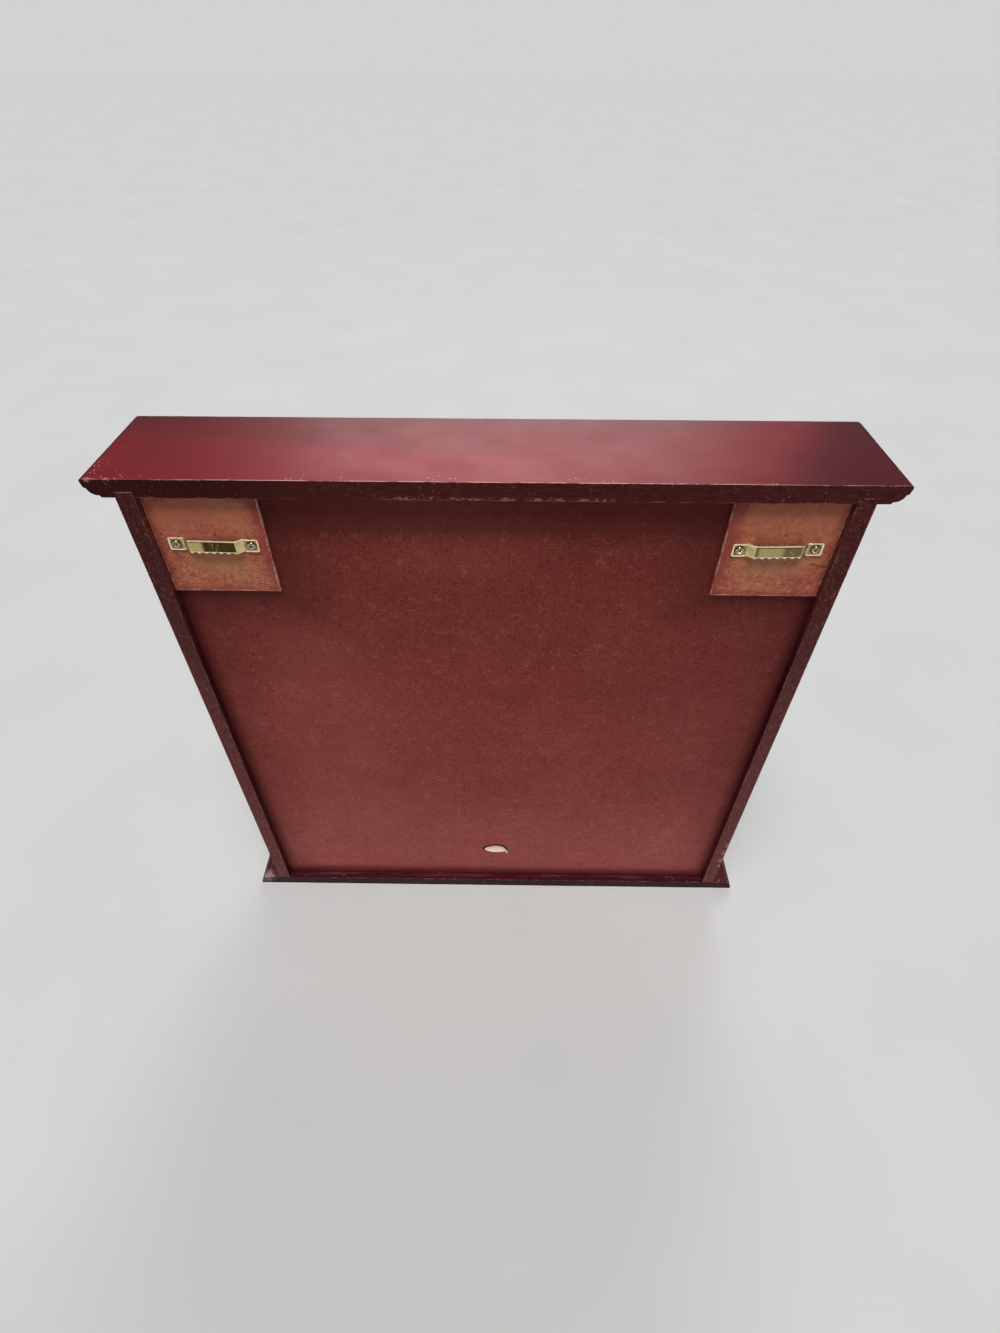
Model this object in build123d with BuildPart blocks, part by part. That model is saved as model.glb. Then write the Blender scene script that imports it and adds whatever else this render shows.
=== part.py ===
from build123d import *
from math import cos, radians, sin, sqrt, tan
import os

os.makedirs("parts", exist_ok=True)

# A glazed case that shows golf balls on shelves, for a wall or a table.
# Millimetres, +Z up. The door faces -Y and the wall is on the +Y side.
# The origin is the centre of the base board's underside.

# Carcass
case_width = 472.0  # over the outside of the two side boards
case_height = 489.0  # underside of the base to the top of the crown
side_thickness = 11.5
side_depth = 56.7  # front edge to back edge of a side board
housing_depth = 4.0  # how far a side stands up into the crown
crown_thickness = 12.5
crown_overhang = 18.0  # crown past the outside of a side
base_thickness = 12.0
base_overhang = 21.0  # base past the outside of a side
front_reveal = 16.0  # crown and base past the face of the door

# Moulding along the ends and the front of the crown and the base
arris_round = 1.2
lip_height = 6.0
lip_undercut = 1.2
quirk = 1.0
ovolo_run = 6.6
ovolo_bulge = 1.6
foot_step = 1.5
foot_slant = 0.8
corner_round = 5.0

# Back panel, in grooves all round
panel_thickness = 3.2
panel_recess = 8.5  # back of the panel in from the backs of the sides
groove_depth = 4.0
groove_play = 0.2
panel_end_play = 0.5

# Shelves, housed in the sides, with a cove along them that the balls sit in
ball_diameter = 42.7
ball_play = 0.6  # ball to the back panel
shelf_count = 7
shelf_thickness = 8.0
shelf_housing = 4.0
shelf_play = 0.2
shelf_setback = 1.5  # front of a shelf in from the front edges of the sides
shelf_front_round = 1.5
cove_depth = 2.5
sill_cover = 3.0  # how far the bottom rail stands above the lowest shelf

# Door frame and pane
door_thickness = 17.0
door_gap = 0.8  # back of the door to the front of the sides
door_end_gap = 1.0  # door to the crown and to the base
member_width = 30.0
door_outer_round = 2.5
sight_flat = 20.5  # flat face of a member, before its sight moulding
sight_step = 1.5
rabbet_width = 6.0
lip_thickness = 2.0
glass_thickness = 2.5
glass_play = 0.5
bead_width = 5.0
bead_height = 6.0
bead_round = 2.0

# Butt hinges
leaf_height = 38.0
leaf_width = 9.5  # over the wood
leaf_thickness = 1.2
knuckle_radius = 2.25
knuckle_standoff = 0.3  # knuckle to the outside of the side
knuckle_gap = 0.2
hinge_pin_radius = 1.1
pin_clearance = 0.05
pin_head_radius = 2.0
pin_head_height = 1.0
hinge_inset = 70.0  # end of the door to the middle of a hinge
leaf_screw_spacing = 24.0

# Screws: countersunk angle, clearances, then head, shank and length of each kind
sink_angle = 82.0
shank_clearance = 0.1
tip_play = 0.4
leaf_screw_head = 2.1
leaf_screw_shank = 1.1
leaf_screw_length = 11.0
hanger_screw_head = 2.9
hanger_screw_height = 1.6
hanger_screw_shank = 1.3
hanger_screw_length = 5.3
base_screw_head = 3.6
base_screw_shank = 1.8
base_screw_length = 38.0
base_screw_spacing = 32.0
pan_top = 0.68  # share of the head's radius
recess_length = 0.55  # share of the head's diameter
recess_width = 0.14  # share of the head's diameter
recess_depth = 0.2  # share of the head's diameter

# Knob and its screw
knob_inset = 15.0  # outer edge of the door to the knob's axis
knob_foot_radius = 6.5
knob_foot_height = 1.6
knob_neck_radius = 3.6
knob_neck_height = 6.4
knob_head_radius = 7.0
knob_widest = 9.4  # face of the door to the knob's widest level
knob_rim = 1.4
knob_height = 14.0
knob_screw_head = 3.4
knob_screw_height = 2.2
knob_screw_shank = 1.9
knob_screw_grip = 7.0  # thread inside the knob
knob_screw_sunk = 3.0  # seat of the head below the back of the door
knob_sink_clearance = 0.4

# Magnetic catch under the crown, and its strike on the door
catch_inset = 45.0  # inside of the right side to the middle of the catch
catch_width = 42.0
catch_depth = 13.0
catch_height = 11.0
catch_wall = 1.5
catch_round = 1.0
catch_air = 0.1  # poles to the strike when the door is shut
catch_screw_spacing = 34.0
catch_screw_head = 2.6
catch_screw_shank = 1.2
catch_screw_length = 17.0
magnet_width = 20.0
magnet_height = 4.6
magnet_setback = 0.5
pole_thickness = 1.2
pole_proud = 0.6
strike_width = 26.0
strike_height = 8.0
strike_thickness = 1.2
strike_screw_length = 10.0

# Pads and strip hangers on the back
pad_width = 74.0
pad_height = 76.2
pad_thickness = 3.0
hanger_inset = 38.0  # inside of a side to the middle of a hanger
hanger_drop = 37.3  # underside of the crown to the middle of a hanger
hanger_tilt = 1.3  # degrees, outer ends high
hanger_height = 9.8
hanger_thickness = 0.8
hanger_rise = 3.4
hanger_bend = 1.0
bridge_length = 30.0
ramp_length = 4.7
ear_length = 10.0
ear_hole_inset = 4.8
tooth_count = 6
tooth_pitch = 4.9
tooth_radius = 2.3
tooth_depth = 1.0

# Levels and planes that the pieces share
side_half = case_width / 2
inner_half = side_half - side_thickness
side_middle = side_half - side_thickness / 2
board_depth = side_depth + door_gap + door_thickness + front_reveal
back_y = board_depth / 2
side_front = back_y - side_depth
side_centre = back_y - side_depth / 2
door_back = side_front - door_gap
door_front = door_back - door_thickness
crown_low = case_height - crown_thickness
side_top = crown_low + housing_depth
side_height = side_top - base_thickness
panel_back = back_y - panel_recess
panel_front = panel_back - panel_thickness
groove_width = panel_thickness + groove_play
groove_middle = panel_back - groove_width / 2
groove_front = panel_back - groove_width
door_low = base_thickness + door_end_gap
door_high = crown_low - door_end_gap
door_middle = (door_low + door_high) / 2
ball_radius = ball_diameter / 2
lowest_shelf = door_low + member_width - sill_cover
highest_shelf = door_high - member_width - ball_diameter
shelf_pitch = (highest_shelf - lowest_shelf) / (shelf_count - 1)
shelf_levels = [lowest_shelf + shelf_pitch * row for row in range(shelf_count)]
shelf_front = side_front + shelf_setback
ball_y = panel_front - ball_play - ball_radius
rabbet_depth = glass_thickness + bead_height
rabbet_inset = member_width - rabbet_width
pin_x = -side_half - knuckle_standoff - knuckle_radius
pin_y = (side_front + door_back) / 2
knuckle_length = leaf_height / 3 - knuckle_gap
hinge_levels = {"lower": door_low + hinge_inset, "upper": door_high - hinge_inset}
pad_face = panel_back + pad_thickness
hanger_level = crown_low - hanger_drop
hanger_spacing = 2 * (inner_half - hanger_inset)
hanger_length = bridge_length + 2 * ramp_length + 2 * ear_length
ear_hole_spacing = hanger_length - 2 * ear_hole_inset
catch_x = inner_half - catch_inset
strike_back = door_back + strike_thickness
catch_front = strike_back + catch_air + pole_proud
catch_low = crown_low - catch_height
catch_middle = crown_low - catch_height / 2
pocket_depth = catch_depth - catch_wall
knob_x = side_half - knob_inset


# Places of the screws. Each plane lies where the head seats and looks out of the work.
def facing(x, y, z, out):
    """A plane at a point that looks along out."""
    return Plane(origin=(x, y, z), z_dir=out)


base_screw_places = [
    facing(side * side_middle, side_centre + step * base_screw_spacing / 2, 0, (0, 0, -1))
    for side in (-1, 1)
    for step in (-1, 1)
]
leaf_screw_x = leaf_width / 2 - side_half
leaf_screw_levels = {
    name: [level + step * leaf_screw_spacing / 2 for step in (-1, 1)]
    for name, level in hinge_levels.items()
}
case_leaf_places = {
    name: [facing(leaf_screw_x, side_front, z, (0, -1, 0)) for z in levels]
    for name, levels in leaf_screw_levels.items()
}
door_leaf_places = {
    name: [facing(leaf_screw_x, door_back, z, (0, 1, 0)) for z in levels]
    for name, levels in leaf_screw_levels.items()
}
catch_screw_places = [
    facing(catch_x + step * catch_screw_spacing / 2, catch_front + catch_depth / 2, catch_low, (0, 0, -1))
    for step in (-1, 1)
]
strike_screw_place = facing(catch_x, strike_back, catch_middle, (0, 1, 0))
knob_place = facing(knob_x, door_front, door_middle, (0, -1, 0))
knob_screw_place = facing(knob_x, door_back - knob_screw_sunk, door_middle, (0, 1, 0))

# Each hanger has its own frame on its pad: Z off the wall side of the pad, Y up, X along the strip
hanger_frames = {
    name: Plane(
        origin=(side * hanger_spacing / 2, pad_face, hanger_level),
        x_dir=(-cos(radians(hanger_tilt)), 0, -side * sin(radians(hanger_tilt))),
        z_dir=(0, 1, 0),
    )
    for name, side in (("left", -1), ("right", 1))
}


def ear_places(name):
    """The two screw places of a hanger, on the outer faces of its ears."""
    frame = hanger_frames[name]
    return [
        Plane(
            origin=frame.from_local_coords((step * ear_hole_spacing / 2, 0, hanger_thickness)),
            x_dir=frame.x_dir,
            z_dir=frame.z_dir,
        )
        for step in (-1, 1)
    ]


def keep(piece, name):
    """Name a finished piece and write it to a file of its own."""
    piece.part.label = name
    export_step(piece.part, f"parts/{name}.step")


# Work that several pieces share. These run inside the piece's own block.
def drill(places, radius, depth):
    """Plain holes from the places into the work."""
    with Locations(*places):
        Cylinder(radius, depth, align=(Align.CENTER, Align.CENTER, Align.MAX), mode=Mode.SUBTRACT)


def sink(places, head_radius, shank_radius, depth):
    """Countersunk clearance holes whose heads lie flush with the places."""
    with Locations(*places):
        CounterSinkHole(shank_radius + shank_clearance, head_radius, depth, sink_angle)


def round_cap(radius, level, height):
    """The cap of a turned piece in section, from its rim at level up to its crown on the axis."""
    sphere = (radius**2 + height**2) / (2 * height)
    shoulder = level + height - sphere + sqrt(sphere**2 - radius**2 / 4)
    ThreePointArc((radius, level), (radius / 2, shoulder), (0, level + height))


def moulded_edge(start, edge, lip_level, foot_level):
    """The moulded edge in section, from start at the lip's face round to start at the foot's face."""
    turn = 1 if foot_level > lip_level else -1
    lip_end = edge - lip_undercut
    ovolo_start = lip_end - quirk
    ovolo_end = ovolo_start - ovolo_run
    lip_base = lip_level + turn * lip_height
    ovolo_base = foot_level - turn * foot_step
    Line((start, lip_level), (edge - arris_round, lip_level))
    TangentArc((edge - arris_round, lip_level), (edge, lip_level + turn * arris_round), tangent=(1, 0))
    TangentArc((edge, lip_level + turn * arris_round), (lip_end, lip_base), tangent=(0, turn))
    Line((lip_end, lip_base), (ovolo_start, lip_base))
    SagittaArc((ovolo_start, lip_base), (ovolo_end, ovolo_base), -turn * ovolo_bulge)
    Line((ovolo_end, ovolo_base), (ovolo_end - foot_slant, foot_level))
    Line((ovolo_end - foot_slant, foot_level), (start, foot_level))


def moulded_board(half_width, lip_level, foot_level):
    """A board with the moulding on both ends and the front, and a plain back."""
    with BuildPart() as board:
        with BuildSketch(Plane.XZ.offset(-back_y)):
            with BuildLine():
                moulded_edge(0, half_width, lip_level, foot_level)
                mirror(about=Plane.YZ)
            make_face()
        extrude(amount=board_depth)
        with BuildSketch(Plane(origin=(half_width, 0, 0), x_dir=(0, -1, 0), z_dir=(-1, 0, 0))):
            with BuildLine():
                moulded_edge(-back_y, back_y, lip_level, foot_level)
                Line((-back_y, foot_level), (-back_y, lip_level))
            make_face()
        extrude(amount=2 * half_width, mode=Mode.INTERSECT)
        with BuildSketch(Plane.XY.offset(min(lip_level, foot_level))):
            with Locations((0, corner_round)):
                RectangleRounded(2 * half_width, board_depth + 2 * corner_round, corner_round)
        extrude(amount=abs(foot_level - lip_level), mode=Mode.INTERSECT)
    return board


def panel_groove(level, side):
    """The groove for the back panel across a board, cut from its inner face at level."""
    with Locations((0, groove_middle, level + side * groove_depth / 2)):
        Box(2 * (inner_half + groove_depth), groove_width, groove_depth, mode=Mode.SUBTRACT)


# Crown and base
with BuildPart() as crown_board:
    add(moulded_board(side_half + crown_overhang, case_height, crown_low).part)
    with Locations((0, side_centre, crown_low + housing_depth / 2)):
        with GridLocations(2 * side_middle, 0, 2, 1):
            Box(side_thickness, side_depth, housing_depth, mode=Mode.SUBTRACT)
    panel_groove(crown_low, 1)
    drill(catch_screw_places, catch_screw_shank, catch_screw_length + tip_play)
keep(crown_board, "crown_board")

with BuildPart() as base_board:
    add(moulded_board(side_half + base_overhang, 0, base_thickness).part)
    panel_groove(base_thickness, -1)
    sink(base_screw_places, base_screw_head, base_screw_shank, base_thickness)
keep(base_board, "base_board")


# Sides, panel and shelves
def side_board(side):
    """A side with its panel groove, its shelf housings and the pilot holes of the base screws."""
    housing_x = side * (inner_half + shelf_housing / 2)
    housing_y = (side_front + groove_front) / 2
    panel_groove_x = side * (inner_half + groove_depth / 2)
    with BuildPart() as board:
        with BuildSketch(Plane.XY.offset(base_thickness)):
            with Locations((side * side_middle, side_centre)):
                Rectangle(side_thickness, side_depth)
        extrude(amount=side_height)
        with Locations((panel_groove_x, groove_middle, base_thickness + side_height / 2)):
            Box(groove_depth, groove_width, side_height, mode=Mode.SUBTRACT)
        with Locations(*[(housing_x, housing_y, level - shelf_thickness) for level in shelf_levels]):
            Box(
                shelf_housing,
                groove_front - side_front,
                shelf_thickness + shelf_play,
                align=(Align.CENTER, Align.CENTER, Align.MIN),
                mode=Mode.SUBTRACT,
            )
        drill(base_screw_places, base_screw_shank, base_screw_length + tip_play)
    return board


def leaf_mortise(level, leaf_low):
    """The seat of a hinge leaf, let in flush on the hinge side of the case."""
    with Locations((-side_half, leaf_low, level)):
        Box(
            leaf_width,
            leaf_thickness,
            leaf_height,
            align=(Align.MIN, Align.MIN, Align.CENTER),
            mode=Mode.SUBTRACT,
        )


with BuildPart() as left_side:
    add(side_board(-1).part)
    for name, level in hinge_levels.items():
        leaf_mortise(level, side_front)
        drill(case_leaf_places[name], leaf_screw_shank, leaf_screw_length + tip_play)
keep(left_side, "left_side")

keep(side_board(1), "right_side")

with BuildPart() as back_panel:
    with BuildSketch(Plane.XY.offset(base_thickness - groove_depth)):
        with Locations((0, panel_front)):
            Rectangle(
                2 * (inner_half + groove_depth - panel_end_play),
                panel_thickness,
                align=(Align.CENTER, Align.MIN),
            )
    extrude(amount=crown_low - base_thickness + 2 * groove_depth - panel_end_play)
    for name in hanger_frames:
        drill(ear_places(name), hanger_screw_shank, hanger_screw_length + tip_play)
keep(back_panel, "back_panel")

for row, level in enumerate(shelf_levels, start=1):
    with BuildPart() as shelf:
        with BuildSketch(Plane.YZ):
            with Locations((shelf_front, level)):
                Rectangle(groove_front - shelf_front, shelf_thickness, align=(Align.MIN, Align.MAX))
            with Locations((ball_y, level - cove_depth + ball_radius)):
                Circle(ball_radius, mode=Mode.SUBTRACT)
        extrude(amount=inner_half + shelf_housing - shelf_play, both=True)
        fillet(shelf.edges().filter_by(Axis.X).group_by(Axis.Y)[0], shelf_front_round)
    keep(shelf, f"shelf_{row}")


# Door: a frame goes round the door's outline, each member from its own corner to the next
def frame_sides(inset):
    """Corner, inward direction, run and length of each side of a frame set in from the outline."""
    half = side_half - inset
    low = door_low + inset
    high = door_high - inset
    return {
        "left": ((-half, door_back, high), (1, 0, 0), (0, 0, -1), high - low),
        "bottom": ((-half, door_back, low), (0, 0, 1), (1, 0, 0), 2 * half),
        "right": ((half, door_back, low), (-1, 0, 0), (0, 0, 1), high - low),
        "top": ((half, door_back, high), (0, 0, -1), (-1, 0, 0), 2 * half),
    }


def mitred_member(side, width, section):
    """A length of the section, mitred at both ends; the section has X inward and Y to the front."""
    corner, inward, run, length = side
    with BuildPart() as member:
        with BuildSketch(Plane(origin=corner, x_dir=inward, z_dir=run)):
            with BuildLine():
                section()
            make_face()
        extrude(amount=length)
        with BuildSketch(Plane(origin=corner, x_dir=inward, z_dir=(0, 1, 0))):
            with BuildLine():
                Polyline((0, 0), (0, length), (width, length - width), (width, width), close=True)
            make_face()
        extrude(amount=door_thickness, both=True, mode=Mode.INTERSECT)
    return member


def member_section():
    """Stile or rail: rounded outer edge, flat face, stepped sight moulding, rabbet for the pane."""
    outer = (0, door_thickness - door_outer_round)
    face = (door_outer_round, door_thickness)
    step = (sight_flat, door_thickness - sight_step)
    sight = (member_width, rabbet_depth + lip_thickness)
    Line((0, 0), outer)
    TangentArc(outer, face, tangent=(0, 1))
    Polyline(face, (sight_flat, door_thickness), step)
    TangentArc(step, sight, tangent=(1, 0))
    Polyline(
        sight,
        (member_width, rabbet_depth),
        (rabbet_inset, rabbet_depth),
        (rabbet_inset, 0),
        (0, 0),
    )


def bead_section():
    """Glazing bead with one round corner to the inside of the case."""
    Polyline((bead_width - bead_round, 0), (0, 0), (0, bead_height), (bead_width, bead_height))
    Line((bead_width, bead_height), (bead_width, bead_round))
    TangentArc((bead_width, bead_round), (bead_width - bead_round, 0), tangent=(0, -1))


member_names = {
    "left": "door_left_stile",
    "right": "door_right_stile",
    "top": "door_top_rail",
    "bottom": "door_bottom_rail",
}
for side_name, side in frame_sides(0).items():
    with BuildPart() as member:
        add(mitred_member(side, member_width, member_section).part)
        if side_name == "left":
            for name, level in hinge_levels.items():
                leaf_mortise(level, door_back - leaf_thickness)
                drill(door_leaf_places[name], leaf_screw_shank, leaf_screw_length + tip_play)
        if side_name == "right":
            with Locations(facing(knob_x, door_back, door_middle, (0, 1, 0))):
                CounterBoreHole(
                    knob_screw_shank + shank_clearance,
                    knob_screw_head + knob_sink_clearance,
                    knob_screw_sunk,
                    door_thickness,
                )
        if side_name == "top":
            drill([strike_screw_place], leaf_screw_shank, strike_screw_length + tip_play)
    keep(member, member_names[side_name])

for side_name, side in frame_sides(rabbet_inset).items():
    keep(mitred_member(side, bead_width, bead_section), f"bead_{side_name}")

with BuildPart() as door_glass:
    with BuildSketch(Plane.XZ.offset(bead_height - door_back)):
        with Locations((0, door_middle)):
            Rectangle(
                2 * (side_half - rabbet_inset - glass_play),
                door_high - door_low - 2 * (rabbet_inset + glass_play),
            )
    extrude(amount=glass_thickness)
keep(door_glass, "door_glass")


# Hinges
def hinge_leaf(level, leaf_low, knuckle_middles, places):
    """A leaf let into the wood, with its knuckles round the pin and its countersunk holes."""
    with BuildPart() as leaf:
        with BuildSketch(Plane.XY.offset(level - leaf_height / 2)):
            with Locations((-side_half, leaf_low)):
                Rectangle(leaf_width, leaf_thickness, align=(Align.MIN, Align.MIN))
        extrude(amount=leaf_height)
        for middle in knuckle_middles:
            with BuildSketch(Plane.XY.offset(level + middle - knuckle_length / 2)):
                with Locations((pin_x, pin_y)):
                    Circle(knuckle_radius)
                with Locations((pin_x, leaf_low)):
                    Rectangle(-side_half - pin_x, leaf_thickness, align=(Align.MIN, Align.MIN))
            extrude(amount=knuckle_length)
        with Locations((pin_x, pin_y, level)):
            Cylinder(hinge_pin_radius + pin_clearance, leaf_height, mode=Mode.SUBTRACT)
        sink(places, leaf_screw_head, leaf_screw_shank, leaf_thickness)
    return leaf


outer_knuckle = (leaf_height - knuckle_length) / 2
for name, level in hinge_levels.items():
    case_leaf = hinge_leaf(level, side_front, (-outer_knuckle, outer_knuckle), case_leaf_places[name])
    keep(case_leaf, f"{name}_case_leaf")
    door_leaf = hinge_leaf(level, door_back - leaf_thickness, [0], door_leaf_places[name])
    keep(door_leaf, f"{name}_door_leaf")
    with BuildPart() as hinge_pin:
        with Locations((pin_x, pin_y, level)):
            Cylinder(hinge_pin_radius, leaf_height)
        for end in (-1, 1):
            with Locations((pin_x, pin_y, level + end * (leaf_height + pin_head_height) / 2)):
                Cylinder(pin_head_radius, pin_head_height)
    keep(hinge_pin, f"{name}_hinge_pin")


# Screws, each kind made once with the seat of its head at the origin and its shank along -Z
def cross_recess(head_radius, level):
    """The cross in a screw's head, cut down from level."""
    with Locations((0, 0, level)):
        for turn in (0, 90):
            Box(
                2 * head_radius * recess_length,
                2 * head_radius * recess_width,
                2 * head_radius * recess_depth,
                rotation=(0, 0, turn),
                align=(Align.CENTER, Align.CENTER, Align.MAX),
                mode=Mode.SUBTRACT,
            )


def countersunk_screw(head_radius, shank_radius, length):
    """A flat-headed wood screw; its head lies below the origin."""
    cone = (head_radius - shank_radius) / tan(radians(sink_angle / 2))
    with BuildPart() as screw:
        with BuildSketch(Plane.XZ):
            with BuildLine():
                Polyline((0, 0), (head_radius, 0), (shank_radius, -cone), (shank_radius, -length))
                Polyline((shank_radius, -length), (0, -length), (0, 0))
            make_face()
        revolve(axis=Axis.Z)
        cross_recess(head_radius, 0)
    return screw


def pan_screw(head_radius, head_height, shank_radius, length):
    """A pan-headed screw; its head stands above the origin and tapers to a flat top."""
    with BuildPart() as screw:
        with BuildSketch(Plane.XZ):
            with BuildLine():
                Polyline((0, head_height), (0, -length), (shank_radius, -length), (shank_radius, 0))
                Polyline((shank_radius, 0), (head_radius, 0), (head_radius * pan_top, head_height))
                Line((head_radius * pan_top, head_height), (0, head_height))
            make_face()
        revolve(axis=Axis.Z)
        cross_recess(head_radius, head_height)
    return screw


def screw_group(screw, places, name):
    """Copies of one screw at their places, kept as one group."""
    with BuildPart() as group:
        with Locations(*places):
            add(screw.part)
    keep(group, name)


leaf_screw = countersunk_screw(leaf_screw_head, leaf_screw_shank, leaf_screw_length)
strike_screw = countersunk_screw(leaf_screw_head, leaf_screw_shank, strike_screw_length)
catch_screw = countersunk_screw(catch_screw_head, catch_screw_shank, catch_screw_length)
base_screw = countersunk_screw(base_screw_head, base_screw_shank, base_screw_length)
hanger_screw = pan_screw(hanger_screw_head, hanger_screw_height, hanger_screw_shank, hanger_screw_length)
knob_screw_reach = door_thickness - knob_screw_sunk + knob_screw_grip
knob_screw = pan_screw(knob_screw_head, knob_screw_height, knob_screw_shank, knob_screw_reach)

screw_group(leaf_screw, sum(case_leaf_places.values(), []), "case_leaf_screws")
screw_group(leaf_screw, sum(door_leaf_places.values(), []), "door_leaf_screws")
screw_group(strike_screw, [strike_screw_place], "strike_screw")
screw_group(catch_screw, catch_screw_places, "catch_screws")
screw_group(base_screw, base_screw_places, "base_screws")
screw_group(hanger_screw, ear_places("left") + ear_places("right"), "hanger_screws")
screw_group(knob_screw, [knob_screw_place], "knob_screw")

# Knob, turned about the axis of its screw
with BuildPart() as turned_knob:
    with BuildSketch(Plane.XZ):
        with BuildLine():
            Polyline(
                (0, knob_height),
                (0, 0),
                (knob_foot_radius, 0),
                (knob_foot_radius, knob_foot_height),
                (knob_neck_radius, knob_foot_height),
                (knob_neck_radius, knob_neck_height),
                (knob_head_radius, knob_widest),
                (knob_head_radius, knob_widest + knob_rim),
            )
            round_cap(knob_head_radius, knob_widest + knob_rim, knob_height - knob_widest - knob_rim)
        make_face()
    revolve(axis=Axis.Z)
    with Locations((0, 0, 0)):
        Cylinder(
            knob_screw_shank,
            knob_screw_grip + tip_play,
            align=(Align.CENTER, Align.CENTER, Align.MIN),
            mode=Mode.SUBTRACT,
        )
with BuildPart() as door_knob:
    with Locations(knob_place):
        add(turned_knob.part)
keep(door_knob, "door_knob")

# Magnetic catch
with BuildPart() as catch_housing:
    with BuildSketch(Plane.XY.offset(catch_low)):
        with Locations((catch_x, catch_front)):
            Rectangle(catch_width, catch_depth, align=(Align.CENTER, Align.MIN))
    extrude(amount=catch_height)
    fillet(catch_housing.edges().filter_by(Axis.Z), catch_round)
    with Locations((catch_x, catch_front, catch_middle)):
        Box(
            magnet_width,
            pocket_depth,
            magnet_height + 2 * pole_thickness,
            align=(Align.CENTER, Align.MIN, Align.CENTER),
            mode=Mode.SUBTRACT,
        )
    sink(catch_screw_places, catch_screw_head, catch_screw_shank, catch_height)
keep(catch_housing, "catch_housing")

with BuildPart() as catch_magnet:
    with Locations((catch_x, catch_front + magnet_setback, catch_middle)):
        Box(
            magnet_width,
            pocket_depth - magnet_setback,
            magnet_height,
            align=(Align.CENTER, Align.MIN, Align.CENTER),
        )
keep(catch_magnet, "catch_magnet")

with BuildPart() as catch_poles:
    for step in (-1, 1):
        pole_z = catch_middle + step * (magnet_height + pole_thickness) / 2
        with Locations((catch_x, catch_front - pole_proud, pole_z)):
            Box(
                magnet_width,
                pocket_depth + pole_proud,
                pole_thickness,
                align=(Align.CENTER, Align.MIN, Align.CENTER),
            )
keep(catch_poles, "catch_poles")

with BuildPart() as strike_plate:
    with BuildSketch(Plane.XZ.offset(-strike_back)):
        with Locations((catch_x, catch_middle)):
            RectangleRounded(strike_width, strike_height, strike_height / 4)
    extrude(amount=strike_thickness)
    sink([strike_screw_place], leaf_screw_head, leaf_screw_shank, strike_thickness)
keep(strike_plate, "strike_plate")

# Pads in the top corners of the back
for name, side in (("left", -1), ("right", 1)):
    with BuildPart() as pad:
        with BuildSketch(Plane.XZ.offset(-pad_face)):
            with Locations((side * (inner_half - pad_width / 2), crown_low)):
                Rectangle(pad_width, pad_height, align=(Align.CENTER, Align.MAX))
        extrude(amount=pad_thickness)
        drill(ear_places(name), hanger_screw_shank, hanger_screw_length + tip_play)
    keep(pad, f"{name}_hanger_pad")

# Strip hanger: a bent strip with two ears and a raised bridge, toothed along its lower edge
with BuildPart() as strip_hanger:
    bridge_half = bridge_length / 2
    foot_half = bridge_half + ramp_length
    end_half = hanger_length / 2
    with BuildLine(Plane.XZ.offset(-hanger_height / 2)):
        FilletPolyline(
            (-end_half, 0),
            (-foot_half, 0),
            (-bridge_half, hanger_rise),
            (bridge_half, hanger_rise),
            (foot_half, 0),
            (end_half, 0),
            radius=hanger_bend,
        )
    make_brake_formed(hanger_thickness, hanger_height, side=Side.LEFT)
    with BuildSketch(Plane.XY):
        with Locations((0, tooth_depth - tooth_radius - hanger_height / 2)):
            with GridLocations(tooth_pitch, 0, tooth_count, 1):
                Circle(tooth_radius)
    extrude(amount=hanger_rise + 2 * hanger_thickness, mode=Mode.SUBTRACT)
    with Locations(*[(step * ear_hole_spacing / 2, 0, 0) for step in (-1, 1)]):
        Cylinder(hanger_screw_shank + shank_clearance, 4 * hanger_thickness, mode=Mode.SUBTRACT)

for name, frame in hanger_frames.items():
    with BuildPart() as hanger:
        with Locations(frame):
            add(strip_hanger.part)
    keep(hanger, f"{name}_hanger")
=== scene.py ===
import math

import bmesh
import bpy
from mathutils import Matrix, Vector, noise


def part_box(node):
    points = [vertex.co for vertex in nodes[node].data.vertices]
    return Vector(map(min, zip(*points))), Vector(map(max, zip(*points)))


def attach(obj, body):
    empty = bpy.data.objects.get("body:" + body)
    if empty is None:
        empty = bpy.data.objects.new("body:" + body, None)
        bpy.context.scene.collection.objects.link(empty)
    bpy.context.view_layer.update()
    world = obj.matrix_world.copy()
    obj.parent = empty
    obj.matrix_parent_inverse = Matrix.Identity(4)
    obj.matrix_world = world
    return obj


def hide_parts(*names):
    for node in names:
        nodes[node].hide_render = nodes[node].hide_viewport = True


# A wooden case for golf balls, seen from behind and above as it stands on a pale floor.
# Metres, +Z up. The door faces -Y and the wall side faces +Y.
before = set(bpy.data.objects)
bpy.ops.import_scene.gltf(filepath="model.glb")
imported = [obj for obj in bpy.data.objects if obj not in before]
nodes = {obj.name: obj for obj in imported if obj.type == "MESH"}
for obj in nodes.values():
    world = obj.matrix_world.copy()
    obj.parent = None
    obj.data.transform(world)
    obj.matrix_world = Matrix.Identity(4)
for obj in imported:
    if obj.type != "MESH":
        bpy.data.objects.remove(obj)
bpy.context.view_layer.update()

MM = 0.001


def mm(*lengths):
    """Lengths in millimetres, given in metres."""
    return tuple(length * MM for length in lengths)


CASE = "case"
DOOR = "door"
side_names = {-1: "left", 1: "right"}

# Camera, fitted to the edges of the case in a frame of 1000 by 1333
image_height = 1333
focal_pixels = 685.2
sensor = 36.0
camera_place = Vector((-0.0072, 0.4219, 0.6970))
camera_pitch = 43.92
camera_yaw = 0.53
camera_roll = -0.23

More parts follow.
